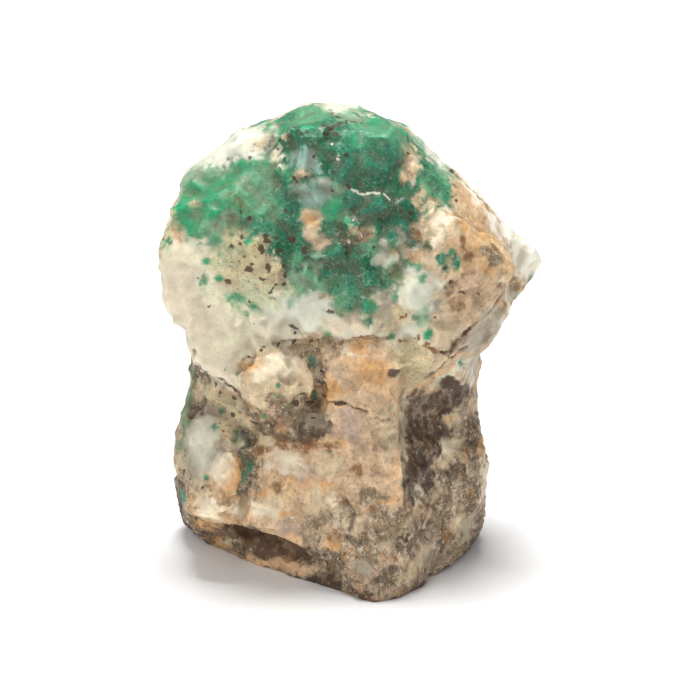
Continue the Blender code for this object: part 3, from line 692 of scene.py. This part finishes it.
# %% [markdown]
# ## Single grains and flecks
#
# Single green grains of about a millimetre sit in the quartz and the feldspar, and brown flecks of dirt
# and mica lie over everything. Grains are painted like the patches, with a harder edge. Flecks are finer
# than the skin can show, so only their place and a slope round it are kept, and the shader cuts their
# ragged outline.

# %% Single grains of beryl, and brown flecks
BERYL_GRAINS = [
    ("vivid beryl", [(248, 241, 4, 4), (206, 263, 4, 4), (219, 278, 4, 4), (232, 299, 8, 4, -8)]),
    ("light beryl", [(245, 313, 4, 3), (254, 308, 5, 4), (204, 282, 3, 6), (290, 303, 2, 4),
        (163, 245, 2, 4), (238, 299, 9, 4), (214, 240, 8, 6)]),
    ("green beryl", [(380, 281, 8, 7, 20), (360, 279, 7, 6), (299, 269, 4, 4), (329, 252, 5, 5),
        (337, 289, 5, 5), (350, 306, 5, 4), (368, 306, 5, 5), (368, 322, 6, 5)]),
    ("light beryl", [(394, 297, 4, 4), (422, 278, 5, 4), (416, 317, 4, 4), (340, 300, 5, 5)]),
    ("vivid beryl", [(429, 334, 5, 6), (391, 336, 4, 3, 20), (453, 252, 4, 4), (372, 306, 6, 7)]),
    ("green beryl", [(441, 258, 5, 6), (455, 262, 6, 8), (446, 268, 5, 4), (350, 280, 8, 8),
        (312, 361, 5, 6), (312, 395, 5, 6), (279, 395, 3, 3), (278, 385, 3, 3)]),
    ("light beryl", [(327, 336, 2, 3), (289, 408, 3, 3), (264, 416, 3, 3), (239, 374, 2, 3)]),
    ("green beryl", [(222, 411, 3, 3), (214, 427, 3, 3), (236, 432, 3, 4), (234, 440, 4, 3),
        (207, 478, 3, 3), (530, 281, 3, 7, 30), (248, 468, 3, 8), (244, 481, 3, 5)]),
    ("deep beryl", [(312, 362, 3, 4), (312, 397, 4, 4), (358, 272, 5, 5), (382, 283, 5, 4)]),
]
BROWN_FLECKS = [
    ("brown", [(289, 136, 4, 3), (346, 122, 3, 4, 20), (360, 122, 2, 3), (353, 121, 4, 1.5),
        (331, 114, 2, 3), (278, 149, 2, 2), (249, 158, 2.5, 3.5), (314, 156, 2, 3), (324, 126, 5, 2, 30),
        (332, 128, 5, 2, -40), (340, 124, 4, 3, -40), (337, 118, 2, 3), (326, 133, 4, 3),
        (336, 134, 3, 3), (307, 131, 2, 2), (301, 133, 2, 2), (294, 177, 4, 2, 30), (306, 177, 3, 2),
        (297, 182, 3, 2), (322, 166, 2, 2), (333, 191, 3, 2, 20), (349, 187, 2, 4, -30), (346, 155, 3, 3),
        (384, 215, 2, 2), (285, 210, 5, 3, 50), (292, 213, 3, 2), (241, 212, 3, 3), (250, 218, 3, 3),
        (263, 218, 3, 1.5), (265, 236, 4, 3), (242, 237, 3, 3), (213, 234, 1.5, 1.5), (231, 248, 4, 5),
        (261, 249, 4, 6, -30), (291, 239, 5, 4), (280, 252, 5, 3), (304, 251, 3, 5), (268, 242, 8, 1.5),
        (240, 244, 3, 2.5), (278, 239, 3, 3), (249, 269, 6, 3.5, -5), (268, 267, 3, 5),
        (238, 265, 2, 4, 20), (252, 264, 2, 2), (190, 276, 2, 1.5), (196, 277, 5, 2, 15),
        (228, 281, 4, 3.5, -20), (262, 279, 4, 2.5, 25), (283, 266, 2.5, 5, -20), (286, 276, 2, 6, -15),
        (284, 284, 4, 2), (234, 286, 1.5, 1.5), (271, 292, 5, 1.5, -50), (276, 285, 4, 1.5, -30),
        (214, 294, 1.5, 3), (209, 306, 2.5, 2), (199, 307, 1.5, 1), (193, 312, 2, 1),
        (251, 302, 6, 1.2, -10), (164, 239, 1.5, 1.5), (330, 311, 4.5, 3), (343, 313, 3, 1.5, -30),
        (292, 327, 9, 1.5, 22), (293, 332, 4, 2.5, 30), (279, 344, 1.5, 4, 30), (294, 342, 2, 3),
        (312, 342, 4, 1.5), (318, 340, 2, 1.5), (264, 346, 1.5, 2), (260, 351, 2, 5, 30),
        (252, 357, 7, 1.2), (252, 364, 1.5, 6, 45), (226, 368, 1.5, 3), (223, 370, 3, 1.5),
        (219, 379, 4, 3, 20), (228, 385, 8, 2, 35), (235, 391, 2.5, 6), (234, 398, 3, 2.5),
        (216, 384, 2, 3), (220, 392, 3, 2), (257, 422, 9, 2, 20), (240, 412, 3, 2), (314, 418, 5, 1.5),
        (318, 381, 6, 2, 30), (324, 396, 6, 1.5, 30), (342, 404, 12, 1.5, 10), (363, 411, 10, 1.2, 20),
        (185, 456, 2, 2), (300, 394, 8, 2), (308, 403, 8, 2), (296, 404, 4, 3), (322, 372, 4, 3)]),
    ("mica grain", [(394, 373, 8, 7, 20)]),
    ("brown", [(392, 346, 1.5, 5, -20), (373, 247, 2, 2), (341, 267, 5, 2), (350, 270, 4, 2),
        (408, 153, 4, 2, 30), (402, 151, 2, 1.5), (401, 212, 3, 2.5), (411, 213, 4, 3)]),
    ("rust", [(439, 206, 2, 2), (419, 234, 3, 3), (434, 317, 2, 2), (443, 331, 1.5, 1)]),
    ("brown", [(451, 171, 4, 2.5, 35), (456, 201, 2, 2), (445, 268, 4, 2), (453, 269, 2, 2),
        (450, 282, 2, 3), (478, 294, 2, 2), (462, 292, 5, 1.5, 20), (413, 316, 3, 1)]),
    ("rust", [(432, 350, 10, 2, 22), (428, 344, 4, 2), (418, 338, 3, 3), (403, 318, 6, 2, -20)]),
    ("brown", [(468, 331, 2, 6, 30), (445, 352, 5, 1.5), (452, 358, 3, 3, -45), (464, 368, 5, 1.2, 15),
        (183, 471, 2, 2), (191, 479, 2, 2), (203, 487, 2, 2), (233, 415, 3, 3)]),
    ("rust", [(362, 336, 22, 1.5), (341, 342, 5, 2, -35), (400, 341, 3, 2), (388, 338, 2, 2)]),
    ("white quartz", [(235, 493, 2, 2), (233, 512, 2, 3), (292, 518, 2, 2), (331, 498, 2, 2),
        (324, 371, 2.5, 2.5), (325, 380, 3, 2), (349, 241, 2, 3), (353, 220, 1.5, 2), (338, 159, 2, 2),
        (338, 155, 2, 2), (332, 144, 1.5, 1.5), (308, 148, 1.5, 1.5)]),
]
print(sum(len(spots) for _, spots in BERYL_GRAINS + BROWN_FLECKS), "grains and flecks")

# %% [markdown]
# ## Cracks and painted shadow lines
#
# The real stone is split along the edges of its blocks, and the splits are full of brown dirt. Each could
# be cut with a tool mesh, but they are thinner than the skin's points lie apart, so a line of darkened
# and lowered points shows them better. A few lines are painted shadows along edges and overhangs instead.
# The lines are given in pixels like the patches. A lint fibre that lies on the green is drawn the same way,
# without a depth.

# %% Cracks and painted shadow lines: mineral, half width in pixels, depth in millimetres, and the line
CRACKS_AND_SHADOW_LINES = [
    # a painted shadow between the quartz plate and the left sliver, under the plate's edge
    ("brown", 2.0, 0.35, [(193, 352), (199, 366), (206, 376), (208, 382)]),
    ("brown", 2.2, 0.30, [(216, 378), (222, 380), (230, 386), (238, 392), (240, 398)]),
    ("dark grit", 3.0, 0.35, [(204, 400), (197, 408), (190, 416)]),
    ("dark grit", 2.4, 0.35, [(244, 402), (248, 414), (258, 420), (262, 428), (272, 432)]),
    ("dark grit", 3.5, 0.45, [(262, 428), (276, 424), (288, 412), (296, 400), (306, 398), (316, 401)]),
    ("brown", 1.2, 0.30, [(316, 401), (330, 402), (341, 402), (352, 406), (366, 412)]),
    ("rust", 0.9, 0.15, [(366, 412), (380, 420), (392, 422)]),
    ("brown", 3.0, 0.35, [(270, 432), (280, 438), (295, 439), (305, 441), (318, 432), (330, 424)]),
    ("dark grit", 3.5, 0.45, [(254, 438), (249, 450), (246, 465), (246, 482), (242, 492)]),
    ("brown", 1.5, 0.30, [(318, 350), (322, 366), (322, 378), (326, 390)]),
    ("brown", 0.9, 0.15, [(236, 374), (246, 368), (253, 360)]),
    ("brown", 1.0, 0.20, [(243, 359), (256, 355), (262, 347), (276, 343), (290, 340), (300, 342)]),
    ("rust", 1.0, 0.20, [(423, 346), (436, 350), (447, 353), (456, 346), (466, 336), (470, 326)]),
    # a painted shadow between the neck and the schist
    ("mica schist", 3.0, 0.30, [(432, 376), (442, 366), (452, 358), (466, 348)]),
    # painted shade along the edge between the pale rear slab and the shoulder
    ("rust", 0.9, 0.10, [(452, 172), (463, 181), (480, 198), (492, 212), (500, 222)]),
    ("brown", 1.2, 0.25, [(500, 296), (490, 312), (476, 324), (464, 334)]),
    ("dark grit", 0.8, 0.15, [(322, 450), (330, 452), (338, 453)]),
    ("rust", 1.0, 0.15, [(334, 339), (350, 341), (366, 338), (384, 338), (390, 335)]),
    # painted shade along the right edge of the slab, where it meets the schist recess
    ("dark grit", 1.6, 0.20, [(404, 392), (400, 410), (401, 440), (404, 462), (414, 488)]),
    ("mica schist", 2.0, 0.20, [(345, 500), (354, 512), (350, 530)]),
    ("dark grit", 1.6, 0.20, [(412, 490), (424, 500), (440, 512), (446, 530)]),
]
FIBRE = [(352, 189), (360, 194), (372, 193), (384, 194), (390, 199)]
FIBRE_WIDTH = 1.5
print(len(CRACKS_AND_SHADOW_LINES), "crack_and_shadow_lines")

# %% Lay everything on the skin
paint(ZONES, wander=1.0, softness=0.45 * MM)
paint(PATCHES, wander=1.0, softness=0.30 * MM)
darken_cracks_and_shadow_lines(CRACKS_AND_SHADOW_LINES)
paint(BERYL_GRAINS, wander=0.6, softness=0.10 * MM)
stamp(BROWN_FLECKS, wander=0.6)
lint, from_fibre = along_line(FIBRE, 2 * FIBRE_WIDTH * PIXEL, wander=0)
keep_mark(lint, 1 - ramp(from_fibre, 0, 2 * FIBRE_WIDTH * PIXEL), "white quartz")
mark[mark_share == 0] = quality["brown"][:3]
print("places beside the stone:", missed)

# %% [markdown]
# ## Carving
#
# Each mineral breaks in its own way. Quartz breaks in shallow curves, feldspar and beryl in small leaning
# flats, and schist in flakes along its layers. These heights move the points along their normals, weighed
# by the mineral that lies there, so relief and colour agree.

# %% Carve the skin
FLAKE, FLAKE_STEP = 0.8 * MM, 0.16 * MM
CURVE, CURVE_HEIGHT = 3.2 * MM, 0.10 * MM
DEEPEST_CUT, HIGHEST_GRAIN = 0.60 * MM, 0.30 * MM
REST_ZONE = 0.1 * MM, 0.9 * MM  # the relief fades out towards the resting face
SOFTENING = 0.35
LAYERS = Vector((0.55, -0.35, 0.75)).normalized()

fine_height, fine_shade = facets(fine_cells, 0.20, 0.012 * MM)
middle_height, middle_shade = facets(middle_cells, 0.18, 0.030 * MM)
coarse_height, coarse_shade = facets(coarse_cells, 0.10, 0.03 * MM)
smooth_share, grain_share, flake_share = skin[:, [SMOOTH, GRAINY, FLAKY]].T

layer_height = points @ np.array(LAYERS) / FLAKE + cloud(1.6 * MM, 20) * 0.8
flake_step = (layer_height % 1.0) * FLAKE_STEP
curve = cloud(CURVE, 21) * CURVE_HEIGHT
relief = (grain_share * (0.75 * fine_height + 0.85 * middle_height + 0.30 * coarse_height)
          + smooth_share * curve
          + flake_share * (flake_step + 0.5 * fine_height)
          + 0.15 * coarse_height - groove)
relief = np.clip(relief, -DEEPEST_CUT, HIGHEST_GRAIN)
off_the_floor = ramp(points[:, 2], *REST_ZONE)
points = points + normals * (relief * off_the_floor)[:, None]
points = (1 - SOFTENING) * points + SOFTENING * averaged(points)
points = np.clip(points, np.array(cad_low), np.array(cad_high))
print("relief from", round(relief.min() / MM, 2), "to", round(relief.max() / MM, 2), "mm")

# %% [markdown]
# ## Shades of single grains
#
# Neighbouring grains of one mineral differ in shade, because each is seen along another direction.
# Hollows get brown dust and painted shade, and rubbed ridges are a little paler.

# %% Shade the grains, the hollows and the ridges
BORDER_BAND = 0.05 * MM, 0.25 * MM  # the milky finish fades out here, so that no line of light shows
NARROW_DUST_AND_SHADE, WIDE_DUST_AND_SHADE, RUBBED = 0.35, 0.22, 0.12
DUST_AND_SHADE_COLOUR = np.array((0.17, 0.115, 0.07))
DARKEST, PALEST = 0.01, 0.9

skin[:, CLEAR] *= ramp(np.abs(beryl_side), *BORDER_BAND)
colour = skin[:, :3].copy()
grain_tone = 1 + grain_share * (0.34 * (fine_shade - 0.5) + 0.40 * (middle_shade - 0.5))
soft_tone = 1 + 0.10 * (coarse_shade - 0.5) + 0.06 * blotches[1]
narrow = (hollowness(6, 0.05 * MM) + narrow_hollows) / 2 * (1 - near_joint[:, 0])
# painted shade and brown dust: points in narrow and wide hollows are darkened towards a brown
dust_and_shade = np.clip(narrow, 0, 1) * NARROW_DUST_AND_SHADE + np.clip(wide_hollows, 0, 1) * WIDE_DUST_AND_SHADE
rub = np.clip(-narrow, 0, 1) * RUBBED
colour *= (grain_tone * soft_tone)[:, None]
colour = colour * (1 - dust_and_shade[:, None]) + DUST_AND_SHADE_COLOUR * dust_and_shade[:, None]
colour = np.clip(colour * (1 + rub[:, None]), DARKEST, PALEST)
print("mean colour", [round(float(c), 2) for c in colour.mean(0)])

# %% [markdown]
# ## Two pieces again
#
# A point belongs to the emerald if it is nearer to the model's emerald than to its matrix. The skin is
# thinned where it is flat, then parted along that border. The rock keeps a pocket behind the emerald, and
# the emerald gets a back that lies just inside the pocket, so both are closed bodies that meet in one
# shared line.

# %% Thin the skin and part it
TRIANGLES = 190000
whole = bpy.data.meshes.new("whole skin")
whole.from_pydata(points.tolist(), [], quads.tolist())
FIELDS = {
    "clear": skin[:, CLEAR], "shine": skin[:, SHINE], "grit": np.clip(grain_share + flake_share, 0, 1),
    "fleck": skin[:, FLECKS], "speckle": skin[:, SPECKLE], "mark_share": mark_share,
    "beryl_side": beryl_side / MM,
}
COLOURS = {"tint": colour, "mark": mark}
for name, values in FIELDS.items():
    whole.attributes.new(name, "FLOAT", "POINT").data.foreach_set("value", values.astype(np.float32))
for name, values in COLOURS.items():
    rgba = np.ones((len(points), 4), np.float32)
    rgba[:, :3] = values
    whole.attributes.new(name, "FLOAT_COLOR", "POINT").data.foreach_set("color", rgba.ravel())
holder = bpy.data.objects.new("whole skin", whole)
bpy.context.scene.collection.objects.link(holder)
holder.modifiers.new("triangles", "TRIANGULATE")
thin = holder.modifiers.new("thin", "DECIMATE")
thin.ratio = TRIANGLES / (2 * len(quads))
thinned = bpy.data.meshes.new_from_object(holder.evaluated_get(bpy.context.evaluated_depsgraph_get()))
bpy.data.objects.remove(holder)

count = len(thinned.vertices)
thin_points = np.empty(count * 3)
thinned.vertices.foreach_get("co", thin_points)
thin_points = np.clip(thin_points.reshape(-1, 3), np.array(cad_low), np.array(cad_high))
triangles = np.empty(len(thinned.loops), int)
thinned.loops.foreach_get("vertex_index", triangles)
triangles = triangles.reshape(-1, 3)
thin_fields = {}
for name in FIELDS:
    values = np.empty(count, np.float32)
    thinned.attributes[name].data.foreach_get("value", values)
    thin_fields[name] = values
thin_colours = {}
for name in COLOURS:
    values = np.empty(count * 4, np.float32)
    thinned.attributes[name].data.foreach_get("color", values)
    thin_colours[name] = values.reshape(-1, 4)
print(len(triangles), "triangles after thinning")

# %% Build the two closed pieces
POCKET_HEART = np.array((-1.0, 1.0, 34.0)) * MM
DEEPEST = 0.5
WALL_SLOPE = 1.3
BACK_CLEARANCE = 0.94


def main_patch(chosen):
    """The largest connected set of the chosen triangles."""
    label = np.arange(count)
    faces = triangles[chosen]
    while True:
        lowest = label[faces].min(1)
        new = label.copy()
        for corner in range(3):
            np.minimum.at(new, faces[:, corner], lowest)
        new = new[new]
        if np.array_equal(new, label):
            break
        label = new
    labels = label[triangles[:, 0]]
    main = np.bincount(labels[chosen]).argmax()
    return chosen & (labels == main)


is_beryl = main_patch(thin_fields["beryl_side"][triangles].mean(1) > 0)
is_beryl = ~main_patch(~is_beryl)
in_beryl = np.zeros(count, bool)
in_beryl[triangles[is_beryl]] = True
in_rock = np.zeros(count, bool)
in_rock[triangles[~is_beryl]] = True
border = in_beryl & in_rock
inner = in_beryl & ~in_rock
border_tree = KDTree(int(border.sum()))
for i, p in enumerate(thin_points[border]):
    border_tree.insert(p, i)
border_tree.balance()
from_border = np.zeros(count)
from_border[inner] = [border_tree.find(p)[2] for p in thin_points[inner]]
inward = POCKET_HEART - thin_points
push = np.minimum(DEEPEST, WALL_SLOPE * from_border / np.linalg.norm(inward, axis=1))


def piece(name, corners, faces, source):
    """A mesh object from points, faces and each point's number in the thinned skin."""
    used = np.unique(faces)
    number = np.full(len(corners), -1)
    number[used] = np.arange(len(used))
    mesh = bpy.data.meshes.new(name)
    mesh.from_pydata(corners[used].tolist(), [], number[faces].tolist())
    for field, values in thin_fields.items():
        if field != "beryl_side":
            mesh.attributes.new(field, "FLOAT", "POINT").data.foreach_set("value", values[source[used]])
    for field, values in thin_colours.items():
        colours = values[source[used]].ravel()
        mesh.attributes.new(field, "FLOAT_COLOR", "POINT").data.foreach_set("color", colours)
    mesh.shade_smooth()
    ends = np.empty(len(mesh.edges) * 2, int)
    mesh.edges.foreach_get("vertices", ends)
    on_border = border[source[used]][ends.reshape(-1, 2)].all(1)
    mesh.attributes.new("sharp_edge", "BOOLEAN", "EDGE").data.foreach_set("value", on_border)
    obj = bpy.data.objects.new(name, mesh)
    bpy.context.scene.collection.objects.link(obj)
    print(name, "has", len(faces), "triangles and", int(on_border.sum()), "border edges")
    return obj


everyone = np.arange(count)
rock = piece("matrix_rock", thin_points + inward * push[:, None], triangles, everyone)
back_points = thin_points + inward * (push * BACK_CLEARANCE)[:, None]
back_number = np.where(inner, everyone + count, everyone)
back_faces = back_number[triangles[is_beryl]][:, ::-1]
beryl = piece("emerald_beryl", np.vstack([thin_points, back_points]),
              np.vstack([triangles[is_beryl], back_faces]), np.concatenate([everyone, everyone]))

# %% [markdown]
# ## Writing materials as sums
#
# A shader is a graph of nodes. One method adds any node. Wrapping a socket in a small class lets sums be
# written as plain sums, and colours are mixed and multiplied by two helpers.

# %% One method for every node, and a wire that can be added and multiplied
def add_node(tree, kind, settings, inputs, output=0):
    """Adds a node: its settings first, then the values or links of its sockets. Gives one output."""
    node = tree.nodes.new(kind)
    for name, value in settings.items():
        setattr(node, name, value)
    for name, value in inputs.items():
        if isinstance(value, Wire):
            tree.links.new(value.socket, node.inputs[name])
        else:
            node.inputs[name].default_value = value
    return Wire(tree, node.outputs[output]) if len(node.outputs) else node


class Wire:
    """An output of a node."""

    def __init__(self, tree, socket):
        self.tree, self.socket = tree, socket

    def math(self, operation, first, second):
        return add_node(self.tree, "ShaderNodeMath", {"operation": operation}, {0: first, 1: second})

    def __add__(self, other):
        return self.math("ADD", self, other)

    __radd__ = __add__

    def __sub__(self, other):
        return self.math("SUBTRACT", self, other)

    def __rsub__(self, other):
        return self.math("SUBTRACT", other, self)

    def __mul__(self, other):
        return self.math("MULTIPLY", self, other)

    __rmul__ = __mul__

    def between(self, low, high):
        """0 below low, 1 above high."""
        settings = {"interpolation_type": "SMOOTHSTEP"}
        inputs = {"Value": self, "From Min": low, "From Max": high}
        return add_node(self.tree, "ShaderNodeMapRange", settings, inputs)


def mixed(share, first, second, blend="MIX"):
    """The second colour over the first. The first is always a wire."""
    settings = {"data_type": "RGBA", "blend_type": blend}
    return add_node(first.tree, "ShaderNodeMix", settings, {0: share, 6: first, 7: second}, 2)


def times(first, second):
    """One colour multiplied by another."""
    return mixed(1.0, first, second, "MULTIPLY")


print("shader helpers ready")

# %% [markdown]
# ## Patches finer than the skin
#
# Inside one mineral the real stone still changes from millimetre to millimetre. Feldspar and grit have
# tan, cream, orange, olive and dark spots, and clear quartz and beryl have deeper and milkier places. The
# tables list them for the shader, which draws each from its own noise.

# %% Fine patches: size in mm, pattern number, where the edge begins and ends, strength, colour
STONY_PATCHES = [
    (1.5, 3, 0.50, 0.60, 0.85, (0.21, 0.13, 0.08, 1)),
    (1.2, 7, 0.52, 0.62, 0.90, (0.64, 0.50, 0.34, 1)),
    (1.8, 11, 0.55, 0.66, 0.70, (0.56, 0.31, 0.13, 1)),
    (0.8, 15, 0.56, 0.65, 0.60, (0.25, 0.20, 0.11, 1)),
    (0.6, 19, 0.57, 0.65, 0.90, (0.07, 0.045, 0.03, 1)),
    (0.45, 23, 0.59, 0.66, 0.90, (0.70, 0.60, 0.46, 1)),
]
# in the clear minerals the colour multiplies what is there
WATERY_PATCHES = [
    (0.9, 31, 0.52, 0.66, 0.45, (0.45, 0.62, 0.55, 1)),
    (0.8, 37, 0.54, 0.70, 0.40, (2.6, 1.7, 1.9, 1)),
]
PALE_SPECK, DARKENED = (0.50, 0.52, 0.42, 1), (0.30, 0.26, 0.24, 1)
# The last colour is a painted highlight: a pale colour that stands for glints of light on a few facets.
BROWN_SPOT, PAINTED_GLINT = (0.11, 0.06, 0.03, 1), (0.70, 0.70, 0.64, 1)
print(len(STONY_PATCHES) + len(WATERY_PATCHES), "kinds of fine patch")

# %% [markdown]
# ## The finish of the broken stone
#
# The minerals' colours come from the skin. The shader adds what is finer than the skin's points: mottling
# inside each grain, the fine patches, pale and dark specks, painted highlights of glints on a few facets,
# facets that shine more or less, and a rough grain in the light. Quartz, feldspar and beryl let light in a
# little way, so a second, milky shader takes over where the mineral is clear. One function makes both
# finishes, because rock and beryl carry grains of each other.

# %% Make the stone's finish
SOFT, MEDIUM, FINE, FACET = 0.9 * MM, 0.34 * MM, 0.14 * MM, 0.42 * MM
BEND, BEND_SIZE = 0.30 * MM, 0.35 * MM  # how far the fine patches' outlines are bent, and how finely
BUMP_STRENGTH, BUMP_DEPTH = 0.40, 0.10 * MM
GLOW_SHARE, GLOW_DEPTH = 0.75, 0.6 * MM
SHEEN = 0.30


def stone_finish(name, glow_radius):
    material = bpy.data.materials.new(name)
    material.use_nodes = True
    tree = material.node_tree
    tree.nodes.clear()

    def add(kind, settings, inputs, output=0):
        return add_node(tree, kind, settings, inputs, output)

    def field(name, output):
        return add("ShaderNodeAttribute", {"attribute_name": name}, {}, output)

    place = add("ShaderNodeTexCoord", {}, {}, "Object")

    def mottle(size, detail, roughness=0.6, at=place, output=0):
        inputs = {"Vector": at, "Scale": 1 / size, "Detail": detail, "Roughness": roughness}
        return add("ShaderNodeTexNoise", {}, inputs, output)

    def facets_of(output):
        return add("ShaderNodeTexVoronoi", {}, {"Vector": place, "Scale": 1 / FACET}, output)

    tint, clear, mark = field("tint", "Color"), field("clear", "Fac"), field("mark", "Color")
    shine, grit, fleck = field("shine", "Fac"), field("grit", "Fac"), field("fleck", "Fac")
    speckle, mark_share = field("speckle", "Fac"), field("mark_share", "Fac")
    soft, medium, fine = mottle(SOFT, 4), mottle(MEDIUM, 4), mottle(FINE, 3)
    facet, facet_colour = facets_of("Distance"), facets_of("Color")
    facet_shade = add("ShaderNodeSeparateColor", {}, {"Color": facet_colour}, "Red")
    facet_pick = add("ShaderNodeSeparateColor", {}, {"Color": facet_colour}, "Green")
    bent = add("ShaderNodeVectorMath", {"operation": "MULTIPLY_ADD"}, {
        0: mottle(BEND_SIZE, 3, 0.5, output="Color"), 1: (BEND,) * 3, 2: place})

    def patches(size, number, low, high):
        """1 inside soft-edged patches that many millimetres wide, with another pattern for each number."""
        moved = add("ShaderNodeVectorMath", {"operation": "MULTIPLY_ADD"}, {
            0: bent, 1: (1.1, 1.0, 0.75), 2: (number * MM,) * 3})
        return mottle(size * MM, 5, 0.62, at=moved).between(low, high)

    shade = (1.0 + (soft - 0.5) * 0.45 + (medium - 0.5) * 1.1 * speckle + (fine - 0.5) * 0.6 * speckle
             + (facet_shade - 0.5) * 0.20 * speckle)
    tone = add("ShaderNodeCombineColor", {}, {"Red": shade, "Green": shade, "Blue": shade})
    colour = times(tint, tone)
    stony, watery = speckle * (1 - clear), speckle * clear
    for size, number, low, high, strength, patch_colour in STONY_PATCHES:
        share = patches(size, number, low, high) * stony * strength
        colour = mixed(share, colour, times(tone, patch_colour))
    for size, number, low, high, strength, patch_colour in WATERY_PATCHES:
        share = patches(size, number, low, high) * watery * strength
        colour = mixed(share, colour, times(colour, patch_colour))

    pale = (mottle(0.24 * MM, 3) + (soft - 0.5) * 0.5 + speckle * 0.06).between(0.62, 0.72) * speckle
    colour = mixed(pale * 0.40, colour, PALE_SPECK)
    dark = (mottle(0.30 * MM, 3, 0.7) + speckle * 0.10).between(0.60, 0.68) * speckle
    colour = mixed(dark * 0.60, colour, times(colour, DARKENED))
    spots = (mottle(0.46 * MM, 4, 0.7) + fleck * 0.07).between(0.68, 0.72)
    colour = mixed(spots * 0.85, colour, BROWN_SPOT)
    # painted highlights: a few facets get a pale colour in place of glints of light
    painted_glint = (1 - facet.between(0.10, 0.20)) * facet_pick.between(0.94, 0.96)
    painted_glint = painted_glint * speckle * soft.between(0.5, 0.6)
    colour = mixed(painted_glint * 0.6, colour, PAINTED_GLINT)
    ragged = (mark_share + (medium - 0.5) * 1.2 + (fine - 0.5) * 0.8).between(0.44, 0.66)
    colour = mixed(ragged * 0.92, colour, times(mark, tone))

    rough = shine + (facet_shade - 0.5) * 0.20 + (fine - 0.5) * 0.2
    height = fine * 0.30 + medium * 0.30 + facet * 0.35 * grit
    bump = add("ShaderNodeBump", {}, {"Strength": BUMP_STRENGTH, "Distance": BUMP_DEPTH, "Height": height})
    surface = {"Base Color": colour, "Roughness": rough, "Normal": bump, "Specular IOR Level": SHEEN}
    glow = {"Subsurface Weight": GLOW_SHARE, "Subsurface Radius": glow_radius, "Subsurface Scale": GLOW_DEPTH}
    opaque = add("ShaderNodeBsdfPrincipled", {}, surface)
    milky = add("ShaderNodeBsdfPrincipled", {}, {**surface, **glow})
    both = add("ShaderNodeMixShader", {}, {0: clear, 1: opaque, 2: milky})
    add("ShaderNodeOutputMaterial", {}, {"Surface": both})
    return material


WARM_GLOW, GREEN_GLOW = (1.0, 0.9, 0.7), (0.7, 1.0, 0.8)
rock.data.materials.append(stone_finish("broken stone", WARM_GLOW))
beryl.data.materials.append(stone_finish("emerald and quartz", GREEN_GLOW))
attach(rock, "root")
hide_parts("matrix")
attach(beryl, "root")
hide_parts("emerald")
print("nodes in each finish:", len(rock.data.materials[0].node_tree.nodes))

# %% [markdown]
# ## Floor and light
#
# The stone stands on white, under one soft light from above, a wider one from the front and white
# surroundings. The floor is so bright that only the soft shadow under the stone shows.

# %% Floor, surroundings and light
FLOOR_SIZE = 3.0
PAPER = (0.93, 0.93, 0.93, 1)
SURROUNDINGS = 0.34
floor_mesh = bpy.data.meshes.new("floor")
half = FLOOR_SIZE / 2
floor_corners = [(-half, -half, 0), (half, -half, 0), (half, half, 0), (-half, half, 0)]
floor_mesh.from_pydata(floor_corners, [], [(0, 1, 2, 3)])
floor = bpy.data.objects.new("floor", floor_mesh)
bpy.context.scene.collection.objects.link(floor)
paper = bpy.data.materials.new("white paper")
paper.use_nodes = True
paper.node_tree.nodes["Principled BSDF"].inputs["Base Color"].default_value = PAPER
paper.node_tree.nodes["Principled BSDF"].inputs["Roughness"].default_value = 0.9
floor.data.materials.append(paper)

world = bpy.data.worlds.new("white surroundings")
world.use_nodes = True
world.node_tree.nodes["Background"].inputs["Color"].default_value = (1, 1, 1, 1)
world.node_tree.nodes["Background"].inputs["Strength"].default_value = SURROUNDINGS
bpy.context.scene.world = world


def soft_light(name, place, size, power):
    lamp = bpy.data.lights.new(name, "AREA")
    lamp.shape, lamp.size, lamp.energy = "DISK", size, power
    obj = bpy.data.objects.new(name, lamp)
    obj.location = place
    obj.rotation_euler = (Vector(place) - VIEW_TARGET).to_track_quat("Z", "Y").to_euler()
    bpy.context.scene.collection.objects.link(obj)


soft_light("top light", (-0.01, 0.04, 0.45), 0.20, 2.15)
soft_light("front light", (-0.14, -0.34, 0.27), 0.50, 0.85)
bpy.context.scene.view_settings.view_transform = "Standard"
print("floor", FLOOR_SIZE, "m wide")
